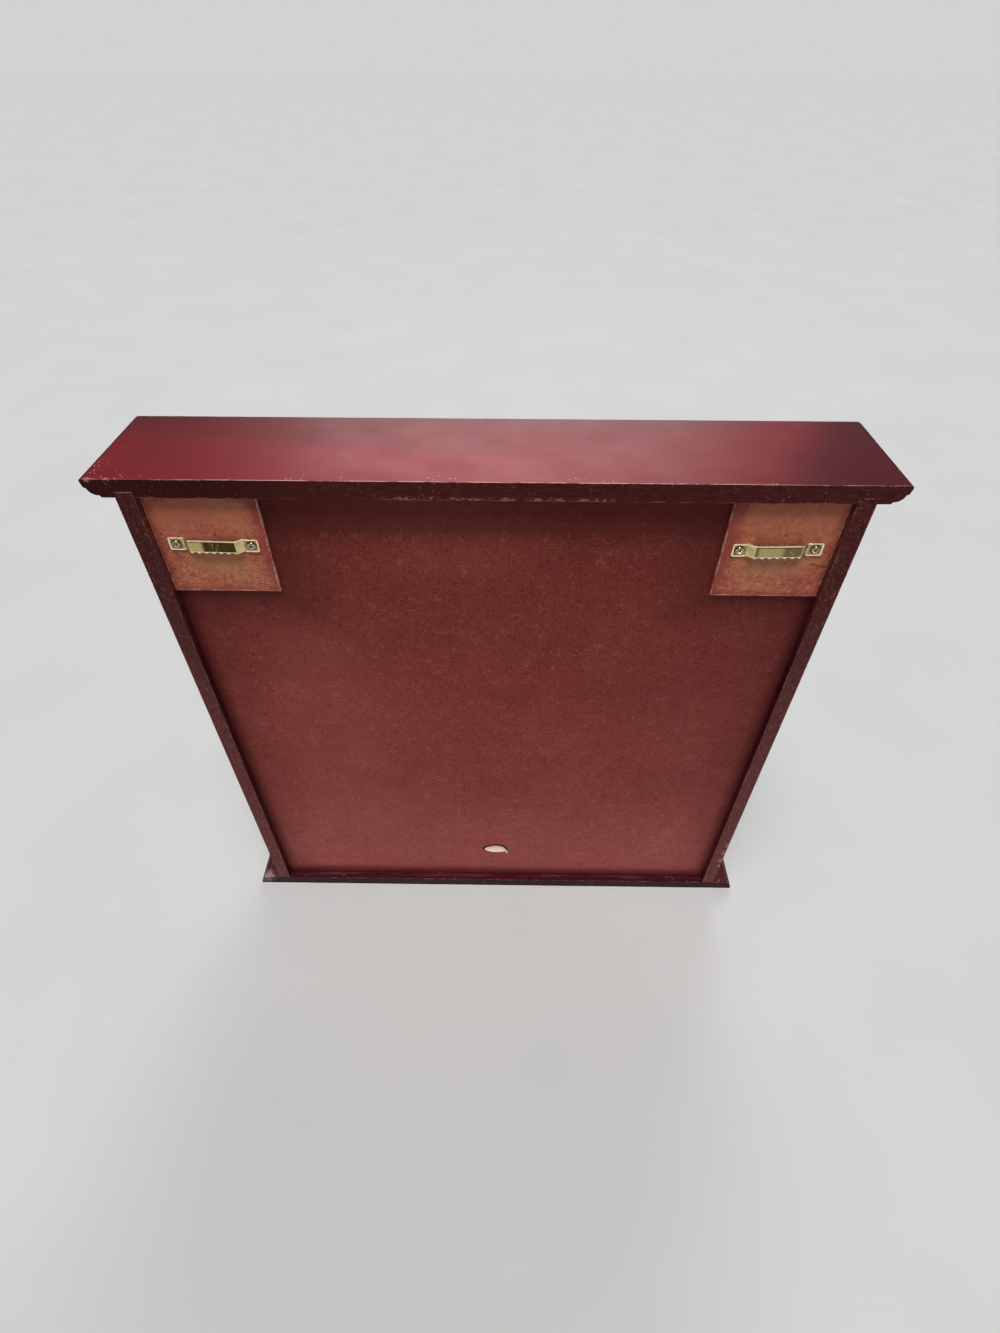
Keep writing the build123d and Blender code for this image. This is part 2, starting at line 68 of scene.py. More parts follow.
# Strip hangers and their screws
strip_length = 59.4 * MM
strip_height = 9.8 * MM
strip_thickness = 0.8 * MM
bridge_half = 15.0 * MM
ramp_length = 4.7 * MM
strip_rise = 3.4 * MM
ear_hole_inset = 4.8 * MM
tooth_count = 6
tooth_pitch = 4.9 * MM
tooth_radius = 2.3 * MM
tooth_depth = 1.0 * MM
strip_corner = 1.3 * MM
bend_ease = 0.4 * MM
ear_rim_rise = 0.28 * MM
ear_rim_width = mm(0.5, 1.6)
ridge_rise = 0.16 * MM
ridge_fade = mm(-1.5, 3)
strip_tilt = math.radians(1.3)
screw_head = 2.9 * MM
screw_height = 1.6 * MM
screw_rim = 0.45 * MM
screw_shank = 1.2 * MM
screw_length = 5.2 * MM
screw_turns = (0.3, 1.1, 0.75, 0.1)
cross_depth = 1.2 * MM
cross_arm_half = mm(0.38, 0.6)
cross_arm_reach = mm(1.1, 1.95)
merge_distance = 0.002 * MM

# Profile of the knob in mm: radii, and how far out of the door
knob_profile = (
    (0.0, 0.0), (6.2, 0.0), (6.5, 0.25), (6.5, 1.1), (6.1, 1.5), (4.6, 1.9), (3.7, 3.2), (3.5, 5.2),
    (4.1, 7.2), (5.6, 8.7), (6.75, 9.5), (7.0, 10.2), (6.85, 11.0), (6.1, 12.1), (4.4, 13.2),
    (2.2, 13.85), (0.0, 14.0),
)

# Chip in the back of the panel: its outline as seen from behind, X and Z in mm, and its rings,
# each a scale of the outline and a share of the depth
chip_centre = Vector((-1.0, 60.0)) * MM
chip_depth = 1.4 * MM
chip_foot = 53 * MM
chip_height = 13 * MM
fibre_lean = 0.6
chip_levels = ((1.0, 0.0), (0.975, 0.6), (0.93, 0.9), (0.7, 1.0), (0.45, 1.0), (0.2, 1.0))
chip_outline = [
    (11.8, 60.5), (7.0, 65.1), (-0.3, 66.8), (-5.6, 65.8), (-9.6, 61.6), (-12.3, 55.4),
    (-12.2, 52.1), (-10.6, 53.0), (-9.4, 56.0), (-6.3, 54.9), (-0.3, 54.2), (7.6, 56.0),
]


def rgb(red, green, blue):
    """A colour as it shows on screen, 0 to 255, in the linear values that a shader takes."""
    shares = (red / 255, green / 255, blue / 255)
    return tuple(s / 12.92 if s <= 0.04045 else ((s + 0.055) / 1.055) ** 2.4 for s in shares) + (1.0,)


class Tree:
    """Short calls for the nodes of a material or a world. Places in a material are the row frame's."""

    def __init__(self, owner, space="Object"):
        owner.use_nodes = True
        self.owner = owner
        self.body = None
        self.nodes = owner.node_tree.nodes
        self.links = owner.node_tree.links
        self.place = self.add("TexCoord").outputs[space]
        self.axes = tuple(self.add("SeparateXYZ", Vector=self.place).outputs)

    def put(self, socket, value):
        if isinstance(value, bpy.types.NodeSocket):
            self.links.new(value, socket)
        else:
            socket.default_value = value

    def set(self, node, **values):
        """Set a node's sockets by name, with _ for a space."""
        for name, value in values.items():
            self.put(node.inputs[name.replace("_", " ")], value)

    def add(self, kind, operation=None, **values):
        """A new node, with its operation and its sockets set."""
        node = self.nodes.new("ShaderNode" + kind)
        if operation:
            node.operation = operation
        self.set(node, **values)
        return node

    def surface(self, **values):
        """The material, once its shader has its body colour and other values."""
        self.set(self.nodes["Principled BSDF"], Base_Color=self.body, **values)
        return self.owner

    def math(self, operation, *values, clamp=False):
        node = self.add("Math", operation)
        node.use_clamp = clamp
        for socket, value in zip(node.inputs, values):
            self.put(socket, value)
        return node.outputs[0]

    def ramp(self, value, low, high, start=0.0, end=1.0):
        """Goes smoothly from start to end while value goes from low to high."""
        node = self.add("MapRange")
        node.interpolation_type = "SMOOTHSTEP"
        for socket, number in zip(node.inputs, (value, low, high, start, end)):
            self.put(socket, number)
        return node.outputs[0]

    def plus(self, first, second):
        return self.math("ADD", first, second)

    def minus(self, first, second):
        return self.math("SUBTRACT", first, second)

    def slope(self, axis, low, high, start=0.0, end=1.0):
        """Goes smoothly from start to end between two places along an axis."""
        return self.ramp(self.axes[axis], low, high, start, end)

    def off(self, value, middle=0.0):
        """How far a value lies from a middle, to either side."""
        return self.math("ABSOLUTE", self.minus(value, middle))

    def moved(self, shift, stretch=(1, 1, 1)):
        """The place as a texture takes it, shifted and stretched."""
        return self.add("Mapping", Vector=self.place, Scale=stretch, Location=(shift,) * 3).outputs[0]

    def noise(self, scale, detail=3.0, roughness=0.5, stretch=(1, 1, 1), shift=0.0):
        """Noise of a number of cells to the metre, drawn out along the axes whose stretch is under 1."""
        place = self.moved(shift, stretch)
        return self.add("TexNoise", Vector=place, Scale=scale, Detail=detail, Roughness=roughness).outputs[0]

    def blots(self, grain, low, high, share=1.0, stretch=(1, 1, 1), shift=0.0):
        """Patches where noise rises from low to high. Grain is its scale, detail and roughness."""
        return self.ramp(self.noise(*grain, stretch, shift), low, high, 0.0, share)

    def dots(self, scale, radius, share, shift=0.0):
        """Crisp dots of up to a radius in metres, in a share of the cells."""
        cells = self.add("TexVoronoi", Vector=self.moved(shift), Scale=scale).outputs
        chance = self.add("SeparateColor", Color=cells["Color"]).outputs[0]
        round_dots = self.ramp(cells["Distance"], radius * scale, 0.55 * radius * scale)
        return self.all_of(round_dots, self.math("LESS_THAN", chance, share))

    def mix(self, share, first, second):
        node = self.nodes.new("ShaderNodeMix")
        node.data_type = "RGBA"
        for index, value in ((0, share), (6, first), (7, second)):
            self.put(node.inputs[index], value)
        return node.outputs[2]

    def all_of(self, *masks):
        """The product of several masks."""
        product = masks[0]
        for mask in masks[1:]:
            product = self.math("MULTIPLY", product, mask)
        return product

    def cover(self, body, colour, *masks):
        """Body under a colour that shows as far as all the masks let it."""
        return self.mix(self.all_of(*masks), body, colour)

    def coat(self, colour, *masks):
        """Lay a colour over the material's own body."""
        self.body = self.cover(self.body, colour, *masks)

    def rubbed(self, reach, edge, fade):
        """1 where an edge is nearer than reach, going over within fade."""
        return self.math("DIVIDE", self.minus(reach, edge), fade, clamp=True)

    def bump(self, height, distance):
        return self.add("Bump", Height=height, Distance=distance).outputs[0]

    def edge_distance(self, low, high):
        """Distance to the nearest edge of a box, which is the middle one of those to its faces."""
        gaps = []
        for value, bottom, top in zip(self.axes, low, high):
            below = self.minus(value, bottom)
            above = self.minus(top, value)
            gaps.append(self.math("MINIMUM", below, above))
        x, y, z = gaps
        nearer = self.math("MINIMUM", x, y)
        farther = self.math("MAXIMUM", x, y)
        return self.math("MAXIMUM", nearer, self.math("MINIMUM", farther, z))

    def length(self, vector):
        return self.add("VectorMath", "LENGTH", Vector=vector).outputs["Value"]

    def near(self, place, radius):
        """A soft round patch about a place."""
        node = self.add("VectorMath", "DISTANCE", Vector=self.place)
        node.inputs[1].default_value = place
        return self.ramp(node.outputs["Value"], radius, 0.35 * radius)


# Wood
X, Y, Z = 0, 1, 2
lacquer_light = rgb(130, 30, 37)
lacquer_dark = rgb(118, 24, 31)
lacquer_deep = rgb(80, 18, 26)
recess_painted_shade = rgb(60, 22, 30)
recess_paler_shade = rgb(134, 80, 76)
recess_deeper_shade = rgb(104, 46, 56)
ledge_streak = rgb(80, 46, 56)
base_foot_painted_shadow = rgb(14, 6, 8)
worn_wood = rgb(206, 140, 132)
bare_wood = rgb(226, 178, 164)
lacquer_gloss = rgb(255, 44, 44)
panel_gloss = rgb(255, 124, 124)
panel_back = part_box("back_panel")[1].y
pad_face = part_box("left_hanger_pad")[1].y
pad_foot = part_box("right_hanger_pad")[0].z
pad_inner_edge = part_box("right_hanger_pad")[0].x
inner_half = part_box("right_side")[0].x
crown_low, crown_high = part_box("crown_board")
base_low, base_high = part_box("base_board")

# Stain of the raw back edges: an axis, where along it the tone changes, and both tones. On the sides the
# darker top tone is painted shade.
back_tones = {
    "crown_board": (X, 90 * MM, 190 * MM, rgb(88, 47, 45), rgb(52, 30, 29)),
    "base_board": (X, 0.0, 200 * MM, rgb(40, 42, 42), rgb(40, 42, 42)),
    "left_side": (Z, 250 * MM, 460 * MM, rgb(119, 71, 68), rgb(94, 51, 50)),
    "right_side": (Z, 250 * MM, 460 * MM, rgb(119, 71, 68), rgb(84, 48, 48)),
}

# Where stain, wear and painted shade change on the boards, each pair from where a mark starts to where it is
# full
pale_beside_pad = mm(330, 390)
base_foot_shadow_height = mm(2.4, 1.2)
dashed_half = mm(85, 60)
ledge_off_middle = mm(2.8, 1.2)
ledge_middle = panel_back + 3.6 * MM
speckled_back = mm(34, 14)
speckled_rim = mm(16, 2)

# The crown's top: its deeper ends, a painted dark reflection on its -X end and along its edges, painted shade
# to its front, and its rubbed back arris
crown_ends = (
    (175 * MM, 245 * MM, rgb(84, 22, 32)),
    (-90 * MM, -180 * MM, rgb(84, 26, 36)),
)
crown_end_painted_reflection = mm(-156, -202)
crown_front_painted_shade = mm(-210, -110)
crown_edge_painted_reflection = mm(2.4, 1.4)
crown_rub_middle = 10 * MM
crown_rub_half = mm(210, 140)

# The base's top: where painted shade and reflection lie beside the sides, above its foot step and along its
# ends
base_painted_shade_depth = mm(22, 50)
base_painted_shade_height = mm(4.4, 5.6)
base_end_painted_shade = mm(3.4, 1.8)


def material_tree(name):
    return Tree(bpy.data.materials.new(name))


def drawn_out(axis, share):
    """A stretch that draws noise out along one axis."""
    return tuple(share if i == axis else 1.0 for i in range(3))


def darker(colour, share):
    return tuple(share * c for c in colour[:3]) + (1.0,)


def scuff(tree, scuffs):
    """Ragged worn patches, each a place, a radius and a colour."""
    ragged = tree.blots((300, 4, 0.7), 0.36, 0.6, shift=8.0)
    for place, radius, colour in scuffs:
        tree.coat(colour, tree.near(place, radius), ragged)


def level_edge_wear(tree, raw):
    """Marks on the back edges of the crown and the base, with a painted contact shadow at the foot and dashes
    under the crown.
    """
    marks = tree.blots((330, 2, 0.5), 0.69, 0.74, 1.0, drawn_out(Z, 0.22), 17.0)
    marked = tree.blots((30, 2, 0.5), 0.48, 0.6, shift=19.0)
    raw = tree.cover(raw, worn_wood, marks, marked, 0.35)
    # Painted contact shadow along the lowest edge of the base.
    raw = tree.cover(raw, base_foot_painted_shadow, tree.slope(Z, *base_foot_shadow_height, 0.0, 0.75))
    dashes = tree.all_of(
        tree.slope(Z, crown_low.z + 2.8 * MM, crown_low.z + 1.8 * MM),
        tree.slope(Z, crown_low.z - 1.0 * MM, crown_low.z),
        tree.ramp(tree.off(tree.axes[X]), *dashed_half),
        tree.blots((420, 3, 0.7), 0.5, 0.58, 1.0, drawn_out(X, 0.5), 24.0),
    )
    return tree.cover(raw, worn_wood, dashes, 0.6)


def upright_edge_wear(tree, raw, low, high):
    """Marks on the back edge of a side: a rubbed top line, scrapes and roughness."""
    top_line = tree.slope(Z, high.z - 0.9 * MM, high.z - 0.5 * MM)
    broken = tree.blots((160, 3, 0.6), 0.38, 0.5, shift=17.0)
    raw = tree.cover(raw, worn_wood, top_line, broken, 0.7)
    scrapes = tree.blots((260, 3, 0.6), 0.64, 0.7, 1.0, drawn_out(Z, 0.4), 18.0)
    scraped = tree.blots((13, 2, 0.5), 0.52, 0.62, shift=low.x * 10 + 3)
    raw = tree.cover(raw, worn_wood, scrapes, scraped, 0.6)
    return tree.cover(raw, worn_wood, tree.blots((700, 3, 0.7), 0.56, 0.7, 0.35, drawn_out(Z, 0.6), 20.0))


def raw_edge(tree, name, grain, coarse, reach, edge):
    """A back edge that took stain and no lacquer: flaked and gritty, its arrises rubbed pale."""
    axis, start, end, first, second = back_tones[name]
    # On the sides the tone darkens towards the top as painted shade.
    tone = tree.mix(tree.slope(axis, start, end), first, second)
    raw = tree.mix(tree.ramp(coarse, 0.3, 0.72), tone, tree.mix(0.5, tone, rgb(0, 0, 0)))
    flakes = tree.blots((380, 3, 0.7), 0.62, 0.7, shift=4.0)
    flaked = tree.blots((26, 2, 0.5), 0.46, 0.62, shift=6.0)
    raw = tree.cover(raw, worn_wood, flakes, flaked, 0.55)
    grit = tree.dots(420, 0.4 * MM, 0.5, 13.0)
    gritty = tree.blots((40, 3, 0.6), 0.44, 0.6, shift=15.0)
    raw = tree.cover(raw, bare_wood, grit, gritty, 0.55)
    if grain == X:
        raw = level_edge_wear(tree, raw)
    else:
        raw = upright_edge_wear(tree, raw, *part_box(name))
    return tree.cover(raw, worn_wood, tree.rubbed(reach, edge, 0.3 * MM), 0.45)


def recess_mask(tree):
    """1 on the faces that look into the hollow behind the panel."""
    return tree.all_of(
        tree.ramp(tree.off(tree.axes[X]), inner_half + 0.4 * MM, inner_half + 0.1 * MM),
        tree.slope(Y, panel_back - 0.6 * MM, panel_back - 0.2 * MM),
        tree.slope(Z, crown_low.z + 1.2 * MM, crown_low.z + 0.8 * MM),
    )


def recess_shade_and_marks(tree, name, grain, coarse, specks):
    """Painted shade on the faces that look into that hollow, paler on the sides beside the pads."""
    grainy = tree.ramp(coarse, 0.3, 0.7)
    # Painted shade in the hollow, darker along the grain.
    recess = tree.mix(grainy, recess_painted_shade, darker(recess_painted_shade, 0.55))
    if grain == Z:
        # Deeper painted shade on the sides next to the panel.
        deep = tree.slope(Y, panel_back + 3.5 * MM, panel_back + 0.5 * MM)
        recess = tree.cover(recess, recess_deeper_shade, deep)
        # Paler painted shade on the sides past the pads' faces, higher up.
        past_pad = tree.slope(Y, pad_face + 0.6 * MM, pad_face + 1.4 * MM)
        pale = tree.mix(grainy, recess_paler_shade, recess_painted_shade)
        recess = tree.cover(recess, pale, past_pad, tree.slope(Z, *pale_beside_pad))
    if name == "base_board":
        streaks = tree.blots((420, 3, 0.6), 0.44, 0.58, 1.0, drawn_out(X, 0.06), 22.0)
        streaked = tree.ramp(tree.noise(14, 2, 0.5, shift=23.0), 0.36, 0.54, 0.15, 0.9)
        strip = tree.ramp(tree.off(tree.axes[Y], ledge_middle), *ledge_off_middle)
        recess = tree.cover(recess, ledge_streak, streaks, streaked, strip)
    return tree.cover(recess, worn_wood, specks, 0.7)


def stained_wood(name, grain, wear=0.4, speckled=0.15, scuffs=(), shading=None, gloss=(0.3, 0.38)):
    """Burgundy lacquer over close-grained wood. Pieces in back_tones have a raw back edge."""
    low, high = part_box(name)
    tree = material_tree(name + "_stain")
    figure = tree.noise(46, 3, 0.5, drawn_out(grain, 0.12), 0.3)
    fibres = tree.noise(1100, 2, 0.5, drawn_out(grain, 0.04))
    tree.body = tree.mix(tree.ramp(figure, 0.3, 0.7), lacquer_dark, lacquer_light)
    tree.coat(lacquer_deep, tree.blots((9, 3, 0.55), 0.42, 0.72, 0.3, shift=1.7))
    tree.coat(lacquer_deep, tree.ramp(fibres, 0.56, 0.76, 0.0, 0.18))
    if shading is not None:
        shading(tree)
    roughness = tree.ramp(tree.noise(30, 4, 0.6), 0.3, 0.8, *gloss)
    height = tree.plus(tree.all_of(fibres, 0.3), tree.noise(160, 2, 0.5, shift=3.1))

    edge = tree.edge_distance(low, high)
    patchy = tree.noise(120, 5, 0.7, shift=5.0)
    reach = tree.ramp(patchy, 0.46, 0.7, 0.1 * MM, 1.0 * MM * wear)
    tree.coat(worn_wood, tree.rubbed(reach, edge, 0.45 * MM), 0.6)
    if name in back_tones:
        start, full = speckled_back
        speckled = tree.slope(Y, high.y - start, high.y - full, speckled, 0.95)
    specks = tree.all_of(
        tree.dots(300, 0.6 * MM, 0.7, 7.0),
        tree.blots((34, 3, 0.6), 0.48, 0.56, shift=9.0),
        tree.ramp(edge, *speckled_rim),
        speckled,
    )
    tree.coat(bare_wood, specks)
    pits = tree.dots(120, 0.6 * MM, 0.12, 11.0)
    tree.coat(lacquer_deep, pits, tree.ramp(patchy, 0.3, 0.5), 0.8)
    if name in back_tones:
        coarse = tree.noise(420, 4, 0.65, drawn_out(grain, 0.35), 2.0)
        tree.coat(recess_shade_and_marks(tree, name, grain, coarse, specks), recess_mask(tree))
        back = tree.slope(Y, high.y - 0.35 * MM, high.y - 0.1 * MM)
        tree.coat(raw_edge(tree, name, grain, coarse, reach, edge), back)
        roughness = tree.mix(back, roughness, (0.72, 0.72, 0.72, 1.0))
        height = tree.plus(height, tree.all_of(back, coarse, 2.0))
    scuff(tree, scuffs)
    return tree.surface(
        Roughness=roughness, Normal=tree.bump(height, 0.03 * MM),
        Specular_IOR_Level=0.5, Specular_Tint=lacquer_gloss,
    )


def crown_shading(tree):
    """The crown's colour: deeper at both ends, painted shade to the front, a painted dark reflection on the
    -X end and along the top's edges, its back arris rubbed.
    """
    across, depth, up = tree.axes
    for start, end, tone in crown_ends:
        tree.coat(tone, tree.ramp(across, start, end, 0.0, 0.25))
    from_back = tree.minus(crown_high.y, depth)
    slant = tree.plus(across, tree.all_of(from_back, 0.5))
    on_top = tree.ramp(up, crown_high.z - 1.4 * MM, crown_high.z - 0.7 * MM)
    # Painted dark reflection on the -X end of the top.
    tree.coat(rgb(66, 16, 26), tree.ramp(slant, *crown_end_painted_reflection, 0.0, 0.9), on_top)
    # Painted shade towards the front of the top.
    frontward = tree.ramp(depth, crown_high.y - 30 * MM, crown_low.y, 0.0, 0.5)
    tree.coat(rgb(34, 10, 16), frontward, on_top, tree.ramp(across, *crown_front_painted_shade))
    # Painted dark reflection along the end and front edges of the top.
    end_gap = tree.minus(crown_high.x, tree.off(across))
    outline = tree.math("MINIMUM", end_gap, tree.minus(depth, crown_low.y))
    tree.coat(rgb(52, 14, 22), tree.ramp(outline, *crown_edge_painted_reflection, 0.0, 0.8), on_top)
    back_arris = tree.edge_distance((-1, -1, crown_low.z), (1, crown_high.y, crown_high.z))
    broken = tree.ramp(tree.noise(60, 4, 0.7, (1, 0.3, 0.3), 21.0), 0.36, 0.54, 0.1 * MM, 0.95 * MM)
    middle = tree.ramp(tree.off(across, crown_rub_middle), *crown_rub_half, 0.25, 1.0)
    upper = tree.ramp(up, crown_high.z - 7 * MM, crown_high.z - 2 * MM)
    tree.coat(bare_wood, tree.rubbed(broken, back_arris, 0.4 * MM), middle, upper)


def door_shading(tree):
    """A fine dark line where the mitred stiles and rails of the door meet."""
    low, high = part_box("door_left_stile")[0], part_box("door_right_stile")[1]
    gaps = []
    for axis in (X, Z):
        out = tree.off(tree.axes[axis], (low[axis] + high[axis]) / 2)
        gaps.append(tree.minus((high[axis] - low[axis]) / 2, out))
    off_mitre = tree.off(*gaps)
    tree.coat(rgb(30, 8, 12), tree.ramp(off_mitre, 0.5 * MM, 0.2 * MM, 0.0, 0.8))


def base_shading(tree):
    """Painted shade and dark reflection on the base's top beside the sides, darkest along its ends."""
    start, full = base_painted_shade_depth
    back = tree.slope(Y, base_low.y + start, base_low.y + full)
    upper = tree.slope(Z, *base_painted_shade_height)
    # Painted shade and dark reflection on the base's top towards its back.
    tree.coat(rgb(60, 38, 43), back, upper, 0.9)
    # Darker painted shade along its ends.
    end_gap = tree.minus(base_high.x, tree.off(tree.axes[X]))
    tree.coat(rgb(22, 10, 13), tree.ramp(end_gap, *base_end_painted_shade, 0.0, 0.85), back, upper)


# Heights on the panel between which its tone changes, and places across it
panel_foot_painted_light = mm(190, 30)
panel_head_painted_shade = mm(230, 440)
painted_glow_middle = 30 * MM
painted_glow_half = mm(85, 15)
painted_glow_height = mm(395, 425)
shadow_band_fade_in = mm(430, 452)
shadow_band_edge = mm(445.5, 448.5)
shadow_band_fade_out = mm(450, 468)
shadow_band_speckle = mm(450, 445)

# Patches of the panel: how far each shows, its tone, and in mm along an axis where each end of it sets in
panel_patches = (
    (0.22, rgb(96, 44, 46), (X, -70, -190), (Z, 90, 190), (Z, 400, 320)),
    (0.12, rgb(208, 124, 116), (X, 70, 125), (X, 190, 160), (Z, 75, 110), (Z, 385, 345)),
)

# Painted shade of the panel along the boards and round the pads, each from where it starts to where it is
# full
corner_painted_shade = mm(13, 0)
beside_painted_shade = mm(48, 8)
panel_foot_painted_shade = mm(18, 2)
pad_painted_shadow = mm(52, 2)


def panel_ground(tree, mottle):
    """The panel's stain, its tones drifting in clouds, with painted light towards its foot and in a pool
    below the crown's painted shadow band, and painted shade towards its head.
    """
    tree.body = tree.mix(tree.ramp(tree.noise(9, 4, 0.6), 0.3, 0.7), rgb(150, 66, 60), rgb(166, 76, 70))
    tree.coat(rgb(166, 82, 54), tree.blots((20, 3, 0.6), 0.52, 0.75, 0.35, shift=2.0))
    tree.coat(rgb(130, 54, 52), tree.ramp(mottle, 0.45, 0.72, 0.0, 0.4))
    # Painted light towards the panel's foot.
    tree.coat(rgb(186, 102, 98), tree.slope(Z, *panel_foot_painted_light, 0.0, 0.45))
    # Painted shade towards the panel's head.
    tree.coat(rgb(130, 58, 50), tree.slope(Z, *panel_head_painted_shade, 0.0, 0.5))
    # Painted light in a soft pool just below the crown's painted shadow band.
    glow = tree.ramp(tree.off(tree.axes[X], painted_glow_middle), *painted_glow_half, 0.0, 0.09)
    tree.coat(rgb(255, 150, 135), glow, tree.slope(Z, *painted_glow_height))
    # Painted shadow of the crown: a dark band under it, with a crisper edge.
    shadow_band = tree.plus(tree.slope(Z, *shadow_band_fade_in, 0.0, 0.38), tree.slope(Z, *shadow_band_edge, 0.0, 0.12))
    tree.coat(rgb(84, 38, 34), shadow_band, tree.slope(Z, *shadow_band_fade_out, 1.0, 0.5))


def panel_speckle(tree):
    """Fine blots, scratches and flecks over the panel, fewer in the painted shadow band under the crown."""
    below_shadow_band = tree.slope(Z, *shadow_band_speckle, 0.2, 1.0)
    pale_blots = tree.blots((150, 4, 0.75), 0.55, 0.68, 0.45, shift=10.0)
    tree.coat(rgb(196, 112, 98), pale_blots, below_shadow_band)
    gold_blots = tree.blots((640, 2, 0.6), 0.56, 0.68, 0.4, shift=6.0)
    tree.coat(rgb(200, 118, 82), gold_blots, below_shadow_band)
    tree.coat(rgb(98, 34, 36), tree.blots((500, 3, 0.65), 0.54, 0.66, 0.6, shift=8.0))
    scratches = tree.blots((420, 1, 0.5), 0.68, 0.74, 1.0, (0.08, 1, 0.9), 3.0)
    scratched = tree.blots((16, 2, 0.5), 0.48, 0.62, shift=5.0)
    tree.coat(rgb(206, 134, 122), scratches, scratched, 0.15)
    flecked = tree.blots((12, 2, 0.5), 0.45, 0.6, shift=14.0)
    tree.coat(rgb(214, 142, 130), tree.dots(110, 0.7 * MM, 0.2, 12.0), flecked, 0.5)
    tree.coat(rgb(92, 34, 34), tree.dots(130, 0.8 * MM, 0.12, 16.0), 0.6)


def panel_shade(tree):
    """Painted shade in the panel's corners, along the boards and round the pads, and its uneven sides."""
    beside = tree.minus(inner_half, tree.off(tree.axes[X]))
    foot = tree.minus(tree.axes[Z], base_high.z)
    corner = tree.math("MINIMUM", beside, tree.all_of(foot, 0.8))
    # Painted shade in the corners, along the sides and along the foot.
    tree.coat(rgb(92, 34, 38), tree.ramp(corner, *corner_painted_shade, 0.0, 0.6))
    tree.coat(rgb(70, 28, 30), tree.ramp(beside, *beside_painted_shade, 0.0, 0.26))
    tree.coat(rgb(80, 30, 36), tree.ramp(foot, *panel_foot_painted_shade, 0.0, 0.3))
    for share, tone, *ends in panel_patches:
        masks = [tree.slope(axis, start * MM, full * MM) for axis, start, full in ends]
        tree.coat(tone, share, *masks)
    # Painted shadow under the pads and beside their inner edges.
    beside_pad = tree.minus(pad_inner_edge, tree.off(tree.axes[X]))
    below_pad = tree.minus(pad_foot, tree.axes[Z])
    pad_gap = tree.math("MAXIMUM", beside_pad, below_pad)
    tree.coat(rgb(70, 28, 28), tree.ramp(pad_gap, *pad_painted_shadow, 0.0, 0.46))


def panel_finish():
    """Stained board with a mottled, finely speckled face, under painted light and shade."""
    tree = material_tree("panel_finish")
    mottle = tree.noise(80, 4, 0.65, shift=4.0)
    panel_ground(tree, mottle)
    panel_speckle(tree)
    panel_shade(tree)
    height = tree.plus(tree.noise(900, 3, 0.6), tree.all_of(mottle, 1.5))
    roughness = tree.ramp(tree.noise(60, 3, 0.6, shift=7.0), 0.3, 0.7, 0.5, 0.64)
    return tree.surface(
        Roughness=roughness, Normal=tree.bump(height, 0.06 * MM),
        Specular_IOR_Level=0.35, Specular_Tint=panel_gloss,
    )


def panel_core():
    """The pale fibres that a chip lays bare, shaded as if they leaned up to the light."""
    tree = material_tree("panel_core")
    fibres = tree.noise(1300, 4, 0.7, (0.3, 1, 1))
    tree.body = tree.mix(tree.ramp(fibres, 0.35, 0.7), rgb(255, 226, 210), rgb(255, 212, 196))
    lean = tree.all_of(tree.axes[Z], -fibre_lean)
    height = tree.plus(lean, tree.all_of(fibres, 0.12 * MM))
    return tree.surface(Roughness=0.9, Normal=tree.bump(height, 1.0))


def panel_lip():
    """The dark finish round the chip."""
    tree = material_tree("panel_lip")
    tree.body = tree.mix(tree.ramp(tree.noise(900, 3, 0.6), 0.35, 0.65), rgb(36, 8, 7), rgb(62, 20, 17))
    return tree.surface(Roughness=0.7, Specular_IOR_Level=0.1)


# Where the colour of a pad changes: painted light on its head, and painted light under the bridge of its
# hanger
pad_head_painted_light = mm(436, 466)
bridge_painted_light_top = mm(2, -3)
bridge_painted_light_foot = mm(-20, -12)
bridge_painted_light_half = mm(26, 15)
pad_red_width = mm(13, 3)
pad_border = mm(6, 0)
pad_waver = 30 * MM


def pad_streaks(tree, streaks, fine, shift):
    """A pad's thin stain, streaked along X, with pale and dark mottling and painted light on its head."""
    clouds = tree.noise(34, 4, 0.65, (0.7, 1, 1), shift + 1)
    tree.body = tree.mix(tree.ramp(clouds, 0.32, 0.66), rgb(238, 154, 112), rgb(214, 112, 86))
    tree.coat(rgb(246, 170, 126), tree.ramp(streaks, 0.42, 0.72, 0.0, 0.35))
    mottle = tree.blots((240, 4, 0.7), 0.46, 0.6, 0.6, (0.6, 1, 1), shift + 6)
    tree.coat(rgb(194, 98, 78), mottle)
    tree.coat(rgb(255, 178, 140), tree.blots((330, 3, 0.7), 0.54, 0.66, 0.6, shift=shift + 13))
    tree.coat(rgb(150, 60, 50), tree.blots((620, 2, 0.6), 0.53, 0.63, 0.45, shift=shift + 12))
    tree.coat(rgb(164, 84, 60), tree.ramp(fine, 0.5, 0.75, 0.0, 0.4))
    # Painted light on the pad's head, against the shade under the crown.
    tree.coat(rgb(255, 158, 120), tree.slope(Z, *pad_head_painted_light, 0.0, 0.6))


